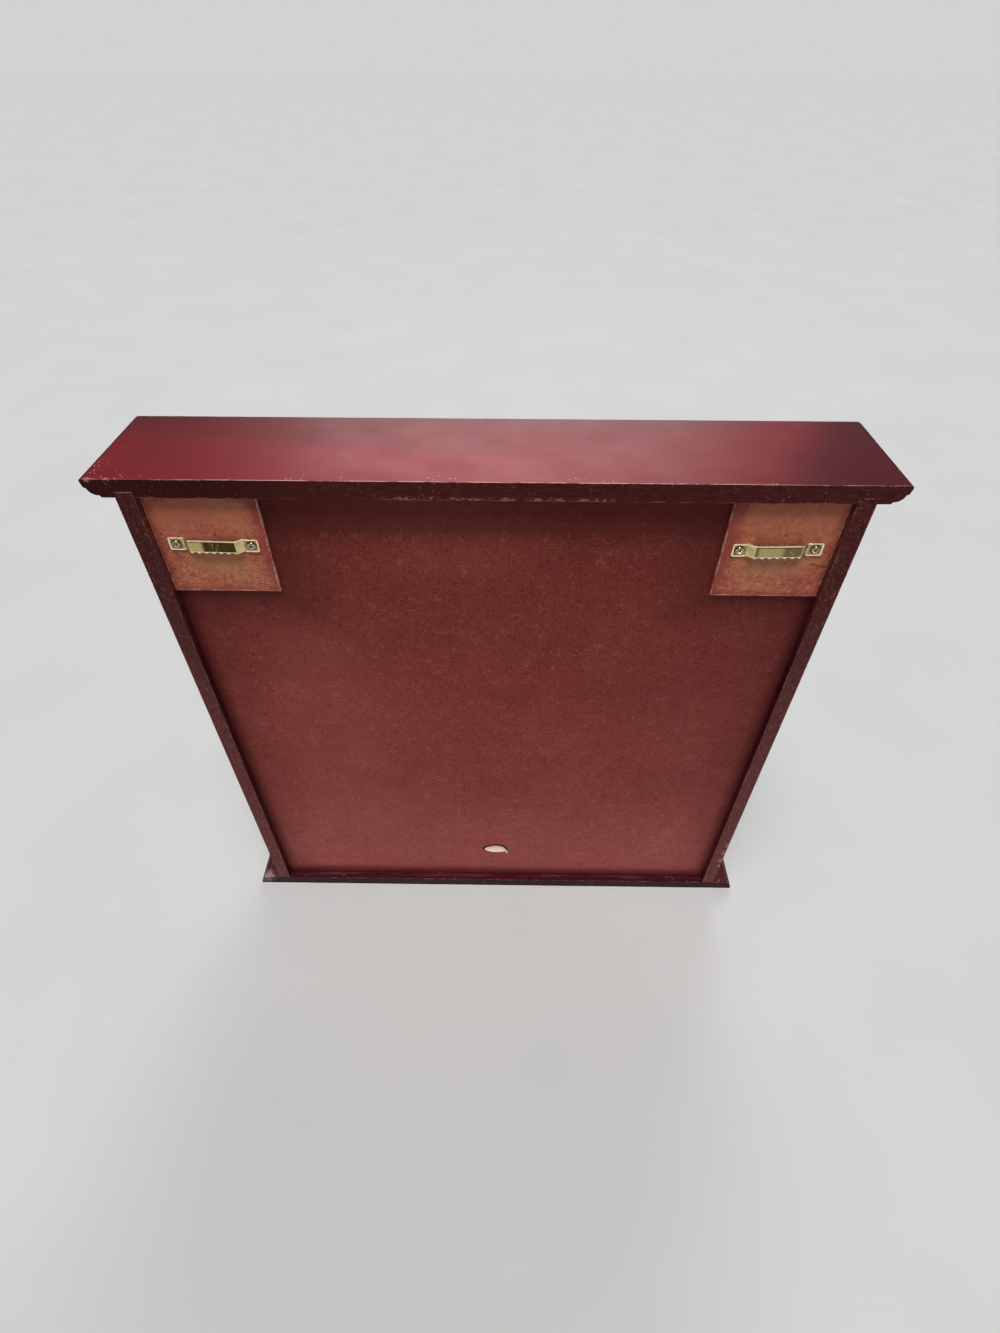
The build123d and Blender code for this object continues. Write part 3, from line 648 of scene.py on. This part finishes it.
def pad_wood(name):
    """Thin stain on a plywood pad, redder towards its edges and with small dark pits, and painted light under
    its hanger's bridge.
    """
    low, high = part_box(name)
    shift = low.x * 10
    tree = material_tree(name + "_stain")
    streaks = tree.noise(300, 4, 0.65, (0.07, 1, 1), shift)
    fine = tree.noise(1100, 2, 0.5, (0.12, 1, 1), shift + 2)
    pad_streaks(tree, streaks, fine, shift)

    # Painted light under the hanger's bridge, against the bridge's shadow.
    hanger_height = tree.minus(tree.axes[Z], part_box(name.replace("_pad", ""))[0].z)
    below = tree.all_of(tree.ramp(hanger_height, *bridge_painted_light_top), tree.ramp(hanger_height, *bridge_painted_light_foot))
    under = tree.ramp(tree.off(tree.axes[X], (low.x + high.x) / 2), *bridge_painted_light_half)
    tree.coat(rgb(240, 176, 130), below, under, 0.4)

    edge = tree.edge_distance(low, high)
    wander = tree.minus(tree.noise(60, 4, 0.7, shift=shift + 11), 0.5)
    waver = tree.all_of(wander, pad_waver)
    inner_edge = low.x if low.x > 0 else high.x
    inward = tree.plus(tree.off(tree.axes[X], inner_edge), waver)
    tree.coat(rgb(184, 74, 68), tree.ramp(inward, *pad_red_width, 0.0, 0.75))
    ragged_edge = tree.plus(edge, tree.all_of(waver, 0.6))
    tree.coat(rgb(176, 72, 62), tree.ramp(ragged_edge, *pad_border, 0.0, 0.5))

    coarse_pits = tree.dots(170, 1.0 * MM, 0.3, shift + 3)
    fine_pits = tree.dots(330, 0.5 * MM, 0.6, shift + 8)
    pitted = tree.blots((30, 2, 0.5), 0.4, 0.56, shift=shift + 4)
    pits = tree.all_of(tree.math("ADD", coarse_pits, fine_pits, clamp=True), pitted)
    tree.coat(rgb(84, 26, 24), pits, 0.85)
    scars = tree.blots((110, 3, 0.6), 0.64, 0.7, 1.0, (0.35, 1, 1), shift + 9)
    scarred = tree.blots((24, 2, 0.5), 0.48, 0.6, shift=shift + 10)
    tree.coat(rgb(120, 38, 36), scars, scarred, 0.6)
    reach = tree.ramp(tree.noise(150, 4, 0.7, shift=shift + 5), 0.35, 0.65, 0.2 * MM, 1.2 * MM)
    tree.coat(rgb(246, 190, 186), tree.rubbed(reach, edge, 0.3 * MM), 0.85)
    height = tree.minus(tree.plus(streaks, fine), tree.all_of(pits, 3.0))
    return tree.surface(Roughness=0.6, Normal=tree.bump(height, 0.08 * MM), Specular_IOR_Level=0.3)


# Metal, plastic and glass
ear_rim_painted_highlight = rgb(255, 240, 208)
bridge_edge_painted_highlight = rgb(255, 240, 206)
zinc_bright = rgb(206, 208, 210)
zinc_dull = rgb(140, 142, 146)


def metal(name, bright, dull, scale=240, low_rough=0.16, high_rough=0.38, share=0.6):
    """Plated metal, duller in patches and finely scratched."""
    tree = material_tree(name)
    patches = tree.noise(scale, 4, 0.6)
    scratches = tree.noise(2600, 2, 0.5, (0.08, 1, 1))
    tree.body = tree.mix(tree.ramp(patches, 0.42, 0.7, 0.0, share), bright, dull)
    uneven = tree.ramp(patches, 0.3, 0.75, low_rough, high_rough)
    roughness = tree.plus(uneven, tree.all_of(scratches, 0.06))
    return tree.surface(Metallic=1.0, Roughness=roughness, Normal=tree.bump(scratches, 0.008 * MM))


def sunk_screws(name, axis, outward, bright, dull):
    """Screws whose heads lie flush in the face of their box that points outward, dark in their recesses."""
    low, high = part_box(name)
    tree = material_tree(name + "_metal")
    patches = tree.noise(900, 3, 0.6)
    tree.body = tree.mix(tree.ramp(patches, 0.42, 0.7, 0.0, 0.6), bright, dull)
    face = high[axis] if outward > 0 else low[axis]
    depth = tree.off(tree.axes[axis], face)
    tree.coat(rgb(34, 26, 16), tree.ramp(depth, 0.15 * MM, 0.5 * MM, 0.0, 0.9))
    roughness = tree.ramp(patches, 0.3, 0.75, 0.2, 0.36)
    return tree.surface(Metallic=1.0, Roughness=roughness, Normal=tree.bump(patches, 0.02 * MM))


def hanger_screw_metal(places):
    """Plated screws, darkened in their recesses at a list of places as dirt and painted shade."""
    tree = material_tree("screw_metal")
    patches = tree.noise(700, 4, 0.6)
    tree.body = tree.mix(tree.ramp(patches, 0.42, 0.7, 0.0, 0.6), rgb(206, 188, 146), rgb(92, 76, 46))
    # Darkened in each recess as dirt and painted shade.
    deep = tree.slope(Y, places[0].y - 0.4 * MM, places[0].y - 0.8 * MM)
    for place in places:
        tree.coat(rgb(30, 22, 14), deep, tree.near(place, 2.1 * MM))
    return tree.surface(Metallic=1.0, Roughness=tree.ramp(patches, 0.3, 0.75, 0.2, 0.36))


def bridge_reflection_and_tarnish(tree, side, patches, u):
    """The bridge of a hanger, its painted dark reflection and tarnish in streaks on the +X one and in patches
    on the -X one.
    """
    if side > 0:
        shade = tree.mix(tree.ramp(u, -8 * MM, -5 * MM), rgb(192, 178, 118), rgb(72, 62, 28))
        upright = tree.blots((1500, 2, 0.6), 0.56, 0.66, 1.0, (1, 1, 0.12), 3.0)
        streaked = tree.ramp(tree.off(u, 0.5 * MM), 5 * MM, 2 * MM)
        return tree.cover(shade, rgb(196, 188, 130), upright, streaked, 0.6)
    shade = tree.mix(tree.ramp(u, 1 * MM, 5 * MM), rgb(180, 166, 112), rgb(122, 108, 66))
    shade = tree.cover(shade, rgb(196, 188, 130), tree.ramp(patches, 0.5, 0.7, 0.0, 0.5))
    return tree.cover(shade, rgb(92, 80, 46), tree.ramp(u, -12 * MM, -14.5 * MM, 0.0, 0.8))


def hanger_metal(side):
    """Brass plate of a hanger, with painted dark reflection and tarnish on its bridge and painted highlights
    along its edges.
    """
    tree = material_tree(side_names[side] + "_hanger_brass")
    frame_matrix = hanger_frame(side)
    own = tree.add("Mapping", Vector=tree.place)
    own.vector_type = "TEXTURE"
    tree.set(own, Location=frame_matrix.to_translation(), Rotation=frame_matrix.to_euler())
    u, v = tree.add("SeparateXYZ", Vector=own.outputs[0]).outputs[:2]
    out = tree.off(u)
    patches = tree.noise(300, 4, 0.65)
    tree.body = tree.mix(tree.ramp(patches, 0.4, 0.7), rgb(232, 208, 156), rgb(190, 170, 116))
    on_bridge = tree.ramp(out, bridge_half + 0.6 * MM, bridge_half - 0.4 * MM)
    # Painted dark reflection and tarnish on the bridge.
    tree.coat(bridge_reflection_and_tarnish(tree, side, patches, u), on_bridge)

    ear_start = bridge_half + ramp_length
    on_ear = tree.ramp(out, ear_start, ear_start + 1.0 * MM)
    tree.coat(rgb(150, 132, 86), on_ear, 0.8)
    from_screw = tree.add("CombineXYZ", X=tree.minus(out, strip_length / 2 - ear_hole_inset), Y=v)
    screw_gap = tree.length(from_screw.outputs[0])
    grime = tree.ramp(screw_gap, screw_head + 1.2 * MM, screw_head + 0.2 * MM)
    tree.coat(rgb(74, 62, 36), on_ear, grime, tree.ramp(patches, 0.3, 0.45))

    side_gap = tree.minus(strip_length / 2, out)
    up_gap = tree.minus(strip_height / 2, v)
    down_gap = tree.plus(strip_height / 2, v)
    rim = tree.math("MINIMUM", side_gap, tree.math("MINIMUM", up_gap, down_gap))
    # Painted highlight on the ears' rims.
    tree.coat(ear_rim_painted_highlight, on_ear, tree.ramp(rim, 1.3 * MM, 0.8 * MM))
    tree.coat(rgb(60, 52, 26), on_bridge, tree.ramp(up_gap, 2.0 * MM, 1.4 * MM), 0.7)
    # Painted highlight along the top edge and the bridge's lower edge.
    lip = tree.ramp(up_gap, 0.85 * MM, 0.65 * MM)
    toe = tree.all_of(on_bridge, tree.ramp(down_gap, 1.6 * MM, 1.2 * MM))
    tree.coat(bridge_edge_painted_highlight, tree.math("MAXIMUM", lip, toe))
    roughness = tree.ramp(patches, 0.3, 0.75, 0.24, 0.42)
    fine_grain = tree.bump(tree.noise(900, 3, 0.6), 0.015 * MM)
    return tree.surface(Metallic=1.0, Roughness=roughness, Normal=fine_grain)


def moulded_plastic(name, colour):
    tree = material_tree(name)
    grain = tree.noise(1500, 2, 0.5)
    tree.body = tree.mix(tree.ramp(tree.noise(160, 3, 0.5), 0.3, 0.8), colour, darker(colour, 0.7))
    roughness = tree.ramp(tree.noise(300, 2, 0.5), 0.3, 0.8, 0.4, 0.52)
    return tree.surface(Roughness=roughness, Normal=tree.bump(grain, 0.03 * MM))


def clear_glass():
    tree = material_tree("clear_glass")
    smears = tree.blots((14, 3, 0.6), 0.55, 0.8, 0.012, (1, 1, 0.4))
    tree.body = rgb(244, 250, 247)
    return tree.surface(
        Roughness=smears, Transmission_Weight=1.0, IOR=1.5, Specular_Tint=(0.35, 0.35, 0.35, 1.0),
    )


# Dressing of the CAD nodes
arris = 0.45 * MM
fine_arris = 0.3 * MM
metal_arris = 0.12 * MM
weld_distance = 0.005 * MM
sharp_corner = math.radians(35)


def dress(name, material, soften=0.0):
    """Give a node its material, and rounded arrises where soften is over 0."""
    node = nodes[name]
    node.data.materials.clear()
    node.data.materials.append(material)
    if soften:
        weld = node.modifiers.new("weld", "WELD")
        weld.merge_threshold = weld_distance
        bevel = node.modifiers.new("arrises", "BEVEL")
        bevel.width = soften
        bevel.segments = 2
        bevel.limit_method = "ANGLE"
        bevel.angle_limit = sharp_corner
        bevel.harden_normals = True


grey_scuff = rgb(150, 134, 136)
side_scuff = rgb(190, 140, 122)
crown_scuffs = [
    ((crown_high.x - 5 * MM, crown_high.y, crown_high.z), 3 * MM, worn_wood),
    ((crown_high.x - 17 * MM, crown_high.y, crown_high.z), 2.5 * MM, worn_wood),
]
base_scuffs = [((base_high.x - 7 * MM, base_high.y, base_high.z), 12 * MM, grey_scuff)]
side_low, side_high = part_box("left_side")
side_scuffs = [
    ((side_low.x, side_high.y, height * MM), radius * MM, side_scuff)
    for height, radius in ((46, 4), (58, 6), (73, 7), (86, 5), (101, 3))
]
crown_stain = stained_wood("crown_board", X, 1.0, 0.3, crown_scuffs, crown_shading, gloss=(0.4, 0.47))
dress("crown_board", crown_stain, arris)
dress("base_board", stained_wood("base_board", X, 1.0, 0.3, base_scuffs, base_shading), arris)
dress("left_side", stained_wood("left_side", Z, 1.2, 0.15, side_scuffs), arris)
dress("right_side", stained_wood("right_side", Z, 1.2, 0.15), arris)
for name, grain in (
    ("door_left_stile", Z), ("door_right_stile", Z), ("door_top_rail", X), ("door_bottom_rail", X),
):
    dress(name, stained_wood(name, grain, shading=door_shading), arris)
for name, grain in (("bead_left", Z), ("bead_right", Z), ("bead_top", X), ("bead_bottom", X)):
    dress(name, stained_wood(name, grain), fine_arris)
for name in sorted(nodes):
    if name.startswith("shelf_"):
        dress(name, stained_wood(name, X), fine_arris)
for name in ("left_hanger_pad", "right_hanger_pad"):
    dress(name, pad_wood(name), fine_arris)

hinge_brass = metal("hinge_brass", rgb(222, 196, 128), rgb(168, 138, 76), 180, 0.2, 0.4)
zinc = metal("zinc", rgb(196, 198, 200), zinc_dull, 300, 0.25, 0.45)
for name in ("lower_case_leaf", "upper_case_leaf", "lower_door_leaf", "upper_door_leaf"):
    dress(name, hinge_brass, metal_arris)
for name in ("lower_hinge_pin", "upper_hinge_pin"):
    dress(name, hinge_brass, fine_arris)
for name, outward in (("case_leaf_screws", -1), ("door_leaf_screws", 1)):
    dress(name, sunk_screws(name, Y, outward, rgb(240, 216, 156), rgb(186, 158, 98)))
for name, axis, outward in (
    ("base_screws", Z, -1), ("catch_screws", Z, -1), ("strike_screw", Y, 1), ("knob_screw", Y, 1),
):
    dress(name, sunk_screws(name, axis, outward, zinc_bright, zinc_dull))
dress("catch_poles", zinc)
dress("strike_plate", zinc, metal_arris)
dress("catch_housing", moulded_plastic("catch_plastic", rgb(86, 52, 40)), 0.25 * MM)
dress("catch_magnet", metal("ferrite", rgb(70, 70, 74), rgb(44, 44, 48), 500, 0.5, 0.7))
dress("door_glass", clear_glass())


# Meshes of the pieces that take the place of nodes
def finished(name, bm, material, body, slot, *replaced):
    """Turn a bmesh in the row frame into a smooth piece that stands for nodes."""
    bmesh.ops.recalc_face_normals(bm, faces=bm.faces)
    for face in bm.faces:
        face.smooth = True
    mesh = bpy.data.meshes.new(name)
    bm.to_mesh(mesh)
    bm.free()
    piece = bpy.data.objects.new(name, mesh)
    bpy.context.scene.collection.objects.link(piece)
    mesh.materials.append(material)
    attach(piece, body)
    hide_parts(*replaced)
    return piece


def add_grid(bm, columns, rows, place, close_columns=False):
    """Add a sheet of quads whose points are place(column, row), each from 0 to 1."""
    count = columns if close_columns else columns + 1
    sheet = [[bm.verts.new(place(i / columns, j / rows)) for j in range(rows + 1)] for i in range(count)]
    for i in range(columns):
        left, right = sheet[i], sheet[(i + 1) % count]
        for j in range(rows):
            bm.faces.new((left[j], right[j], right[j + 1], left[j + 1]))


def on_circle(share, radius):
    """The two coordinates of a point a share of the way round a circle."""
    angle = 2 * math.pi * share
    return radius * math.cos(angle), radius * math.sin(angle)


def smooth(value, low, high):
    """0 below low, 1 above high and an even curve between."""
    share = min(1.0, max(0.0, (value - low) / (high - low)))
    return share * share * (3 - 2 * share)


def hanger_frame(side):
    """Matrix from a hanger's own frame, X along the strip, Y up and Z off its pad, to the row frame."""
    strip_low, strip_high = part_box(side_names[side] + "_hanger")
    middle = (strip_low + strip_high) / 2
    x = Vector((-math.cos(strip_tilt), 0, -side * math.sin(strip_tilt)))
    z = Vector((0, 1, 0))
    y = z.cross(x)
    turn = Matrix((x, y, z)).transposed().to_4x4()
    return Matrix.Translation((middle.x, pad_face, middle.z)) @ turn


def scallop(x):
    """How far the strip's lower edge is cut away at x by the round teeth."""
    half_row = (tooth_count - 1) * tooth_pitch / 2
    nearest = min(tooth_count - 1, max(0, round((x + half_row) / tooth_pitch)))
    off = abs(x + half_row - nearest * tooth_pitch)
    if off >= tooth_radius:
        return 0.0
    return max(0.0, math.sqrt(tooth_radius**2 - off**2) - tooth_radius + tooth_depth)


def strip_point(along_share, up_share):
    """A point of the strip's outer face, with its bridge, raised ear rims and pressed ridges."""
    half = strip_length / 2
    ear_start = bridge_half + ramp_length
    x = (2 * along_share - 1) * half
    past = max(0.0, abs(x) - (half - strip_corner))
    clip = strip_corner - math.sqrt(max(0.0, strip_corner**2 - past**2))
    low = -strip_height / 2 + clip + scallop(x)
    high = strip_height / 2 - clip
    y = low + (high - low) * up_share
    z = strip_rise * (1 - smooth(abs(x), bridge_half - bend_ease, ear_start + bend_ease))
    to_rim = min(y - low, high - y, half - abs(x))
    ear = smooth(abs(x), ear_start, ear_start + 1.5 * MM)
    z += ear_rim_rise * ear * (1 - smooth(to_rim, *ear_rim_width))
    if abs(x) < bridge_half - MM:
        ridge = max(0.0, math.cos(2 * math.pi * (x / tooth_pitch)) ** 3)
        z += ridge_rise * ridge * (1 - smooth(y, *ridge_fade))
    return Vector((x, y, z + strip_thickness))


def make_hanger(side):
    name = side_names[side]
    bm = bmesh.new()
    add_grid(bm, 240, 20, strip_point)
    bm.transform(hanger_frame(side))
    piece = finished(name + "_strip_hanger", bm, hanger_metal(side), CASE, "brass", name + "_hanger")
    shell = piece.modifiers.new("thickness", "SOLIDIFY")
    shell.thickness = strip_thickness
    shell.offset = -1
    bevel = piece.modifiers.new("arrises", "BEVEL")
    bevel.width = 0.3 * MM
    bevel.segments = 2
    bevel.limit_method = "ANGLE"
    bevel.angle_limit = math.radians(50)


def cross_dent(x, y):
    """Depth of a cross recess below the top of a screw's head."""
    def arm(across, lengthwise):
        wall = 1 - smooth(abs(across), *cross_arm_half)
        return wall * (1 - smooth(abs(lengthwise), *cross_arm_reach))
    return cross_depth * max(arm(x, y), arm(y, x))


def add_screw(bm, place):
    """A pan-headed screw with a cross recess, its head seated at place."""
    head_rings, sides = 22, 72
    skirt = (
        (screw_head, screw_rim), (screw_head, 0), (screw_shank, 0),
        (screw_shank, -screw_length), (0, -screw_length),
    )

    def head_point(round_share, in_share):
        radius = screw_head * math.sin(math.pi / 2 * (1 - in_share))
        dome = math.sqrt(max(0.0, 1 - (radius / screw_head) ** 2.6))
        top = screw_rim + (screw_height - screw_rim) * dome
        x, y = on_circle(round_share, radius)
        return place @ Vector((x, y, top - cross_dent(x, y)))

    def skirt_point(round_share, down_share):
        radius, height = skirt[round(down_share * (len(skirt) - 1))]
        return place @ Vector((*on_circle(round_share, radius), height))

    add_grid(bm, sides, head_rings, head_point, close_columns=True)
    add_grid(bm, sides, len(skirt) - 1, skirt_point, close_columns=True)


def make_hanger_screws():
    bm = bmesh.new()
    turns = iter(screw_turns)
    reach = strip_length / 2 - ear_hole_inset
    places = []
    for side in side_names:
        for step in (-1, 1):
            place = hanger_frame(side) @ Matrix.Translation((step * reach, 0, strip_thickness))
            add_screw(bm, place @ Matrix.Rotation(next(turns), 4, "Z"))
            places.append(place @ Vector((0, 0, screw_height)))
    bmesh.ops.remove_doubles(bm, verts=bm.verts, dist=merge_distance)
    finished("hanger_screw_set", bm, hanger_screw_metal(places), CASE, "brass", "hanger_screws")


def make_knob():
    """Turned knob: a foot, a hollow neck and a domed head."""
    low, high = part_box("door_knob")
    middle = (low + high) / 2
    bm = bmesh.new()

    def knob_point(round_share, up_share):
        radius, out = mm(*knob_profile[round(up_share * (len(knob_profile) - 1))])
        x, z = on_circle(round_share, radius)
        return Vector((middle.x + x, high.y - min(out, high.y - low.y), middle.z + z))

    add_grid(bm, 64, len(knob_profile) - 1, knob_point, close_columns=True)
    bmesh.ops.remove_doubles(bm, verts=bm.verts, dist=merge_distance)
    piece = finished("turned_knob", bm, hinge_brass, DOOR, "brass", "door_knob")
    smoother = piece.modifiers.new("smooth", "SUBSURF")
    smoother.levels = 2
    smoother.render_levels = 2


def spline_loop(points, steps):
    """A closed smooth curve through points, with a number of steps from each to the next."""
    count = len(points)
    loop = []
    for i in range(count):
        before, start, end, after = (points[(i + k - 1) % count] for k in range(4))
        for step in range(steps):
            t = step / steps
            loop.append(0.5 * (
                2 * start
                + (end - before) * t
                + (2 * before - 5 * start + 4 * end - after) * t**2
                + (3 * start - before - 3 * end + after) * t**3
            ))
    return loop


def chip_ring(bm, outline, face_y, scale, depth):
    """One ring of the chip: its outline at a scale, torn to a share of its depth, deepest at its top."""
    ring = []
    for point in outline:
        ragged = 0.12 * MM * noise.noise(Vector((point.x, point.y, 3 * scale)) * 900)
        spot = chip_centre + (point - chip_centre) * scale
        slope = 0.1 + 0.9 * min(1.0, max(0.0, (spot.y - chip_foot) / chip_height))
        rough = 0.12 * noise.noise(Vector((spot.x, spot.y, 0)) * 420)
        torn = chip_depth * depth * max(0.05, slope + rough) if depth else 0
        ring.append(bm.verts.new((spot.x + ragged, face_y - torn, spot.y + ragged)))
    return ring


def join_rings(bm, outer, inner):
    """The faces between two rings of as many points."""
    count = len(outer)
    faces = []
    for i in range(count):
        after = (i + 1) % count
        faces.append(bm.faces.new((outer[i], outer[after], inner[after], inner[i])))
    return faces


def ring_edges(bm, ring):
    return [bm.edges.get((ring[i], ring[(i + 1) % len(ring)])) for i in range(len(ring))]


def open_box(bm, low, high):
    """Add all faces of a box but its +Y one, and give that one's corners in a row."""
    around = ((low.x, low.z), (high.x, low.z), (high.x, high.z), (low.x, high.z))
    front = [bm.verts.new((x, low.y, z)) for x, z in around]
    back = [bm.verts.new((x, high.y, z)) for x, z in around]
    bm.faces.new(front)
    join_rings(bm, front, back)
    return back


def make_panel():
    """The back panel, with a torn chip low in its back and a dark lip round it."""
    low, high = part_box("back_panel")
    outline = spline_loop([Vector(point) * MM for point in chip_outline], 6)
    bm = bmesh.new()
    rings = [chip_ring(bm, outline, high.y, scale, depth) for scale, depth in chip_levels]
    core = []
    for outer, inner in zip(rings, rings[1:]):
        core += join_rings(bm, outer, inner)
    core.append(bm.faces.new(rings[-1]))
    around = []
    for point in outline:
        upper = smooth(point.y - chip_centre.y, -4 * MM, 3 * MM)
        away = (point - chip_centre).normalized() * (0.8 + 1.8 * upper) * MM
        around.append(bm.verts.new((point.x + away.x, high.y, point.y + away.y)))
    lip = join_rings(bm, around, rings[0])
    rim = open_box(bm, low, high)
    edges = ring_edges(bm, rim) + ring_edges(bm, around)
    bmesh.ops.triangle_fill(bm, edges=edges, use_beauty=True, normal=(0, 1, 0))
    bm.faces.index_update()
    slots = {face.index: 1 for face in core}
    slots.update({face.index: 2 for face in lip})
    piece = finished("chipped_panel", bm, panel_finish(), CASE, "panel_board", "back_panel")
    piece.data.materials.append(panel_core())
    piece.data.materials.append(panel_lip())
    for polygon in piece.data.polygons:
        polygon.use_smooth = False
        polygon.material_index = slots.get(polygon.index, 0)


for side in side_names:
    make_hanger(side)
make_hanger_screws()
make_knob()
make_panel()


# Stage
backdrop = rgb(209, 210, 209)
ambient_strength = 0.15
soft_sun = math.radians(30)
floor_size = 12
floor_fade = (0.3, 0.8)
horizon_fade = (0.03, 0.14)


def seen_rays(tree, in_gloss=1.0):
    """1 for the rays that show the stage: the camera's, those through glass and a share of those in gloss."""
    path = tree.add("LightPath").outputs
    seen = tree.math("MAXIMUM", path["Is Camera Ray"], path["Is Transmission Ray"])
    return tree.math("MAXIMUM", seen, tree.all_of(path["Is Glossy Ray"], in_gloss))


def make_floor():
    """A pale sheet, darker away from the case for the rays that only light it."""
    bm = bmesh.new()
    bmesh.ops.create_grid(bm, x_segments=8, y_segments=8, size=floor_size)
    mesh = bpy.data.meshes.new("floor")
    bm.to_mesh(mesh)
    bm.free()
    floor = bpy.data.objects.new("floor", mesh)
    bpy.context.scene.collection.objects.link(floor)
    tree = material_tree("floor_sheet")
    tree.body = tree.mix(tree.ramp(tree.noise(5, 2, 0.5), 0.3, 0.7), rgb(202, 203, 202), rgb(206, 206, 205))
    far = tree.ramp(tree.length(tree.place), *floor_fade)
    unseen = tree.minus(1.0, seen_rays(tree))
    tree.coat(rgb(40, 40, 40), far, unseen)
    mesh.materials.append(tree.surface(Roughness=0.9))


def make_world():
    """Even soft light, with a pale background behind what the camera, metal and glass see."""
    world = bpy.data.worlds.new("studio")
    bpy.context.scene.world = world
    tree = Tree(world, "Generated")
    ambient = tree.nodes["Background"]
    tree.set(ambient, Color=(1.0, 1.0, 1.0, 1.0), Strength=ambient_strength)
    shown = tree.add("Background", Color=backdrop)
    horizon = tree.add("MapRange")
    for socket, value in zip(horizon.inputs, (tree.axes[Z], *horizon_fade, 1.0, 0.0)):
        tree.put(socket, value)
    blend = tree.add("MixShader")
    seen = seen_rays(tree, horizon.outputs[0])
    for socket, value in zip(blend.inputs, (seen, ambient.outputs[0], shown.outputs[0])):
        tree.put(socket, value)
    tree.set(tree.nodes["World Output"], Surface=blend.outputs[0])


def make_lamp(name, kind, strength, place, target, **settings):
    """A lamp at a place, aimed at a target. Settings that start with visible_ are the object's."""
    lamp = bpy.data.lights.new(name, kind)
    lamp.energy = strength
    holder = bpy.data.objects.new(name, lamp)
    bpy.context.scene.collection.objects.link(holder)
    for key, value in settings.items():
        setattr(holder if key.startswith("visible_") else lamp, key, value)
    holder.location = place
    holder.rotation_euler = (Vector(target) - Vector(place)).to_track_quat("-Z", "Y").to_euler()


def make_camera():
    camera = bpy.data.objects.new("camera", bpy.data.cameras.new("camera"))
    bpy.context.scene.collection.objects.link(camera)
    camera.data.sensor_width = sensor
    camera.data.lens = focal_pixels * sensor / image_height
    camera.data.clip_start = 0.01
    tip = Matrix.Rotation(math.radians(90 - camera_pitch), 4, "X")
    turn = Matrix.Rotation(math.radians(180 + camera_yaw), 4, "Z")
    roll = Matrix.Rotation(math.radians(-camera_roll), 4, "Z")
    camera.matrix_world = Matrix.Translation(camera_place) @ turn @ tip @ roll
    bpy.context.scene.camera = camera


make_floor()
make_world()
make_lamp("overhead", "SUN", 2.52, (0.02, 0.3, 1.1), (0, 0, 0), angle=soft_sun)
make_lamp("front_fill", "SUN", 1.02, (-0.3, -1.5, 0.88), (0, 0, 0), visible_glossy=False, angle=soft_sun)
make_lamp(
    "front_box", "AREA", 22.3, (-0.01, -2.1, 1.72), (0, 0, 0.45),
    visible_diffuse=False, shape="RECTANGLE", size=1.6, size_y=0.9,
)
make_camera()
bpy.context.scene.view_settings.view_transform = "Standard"
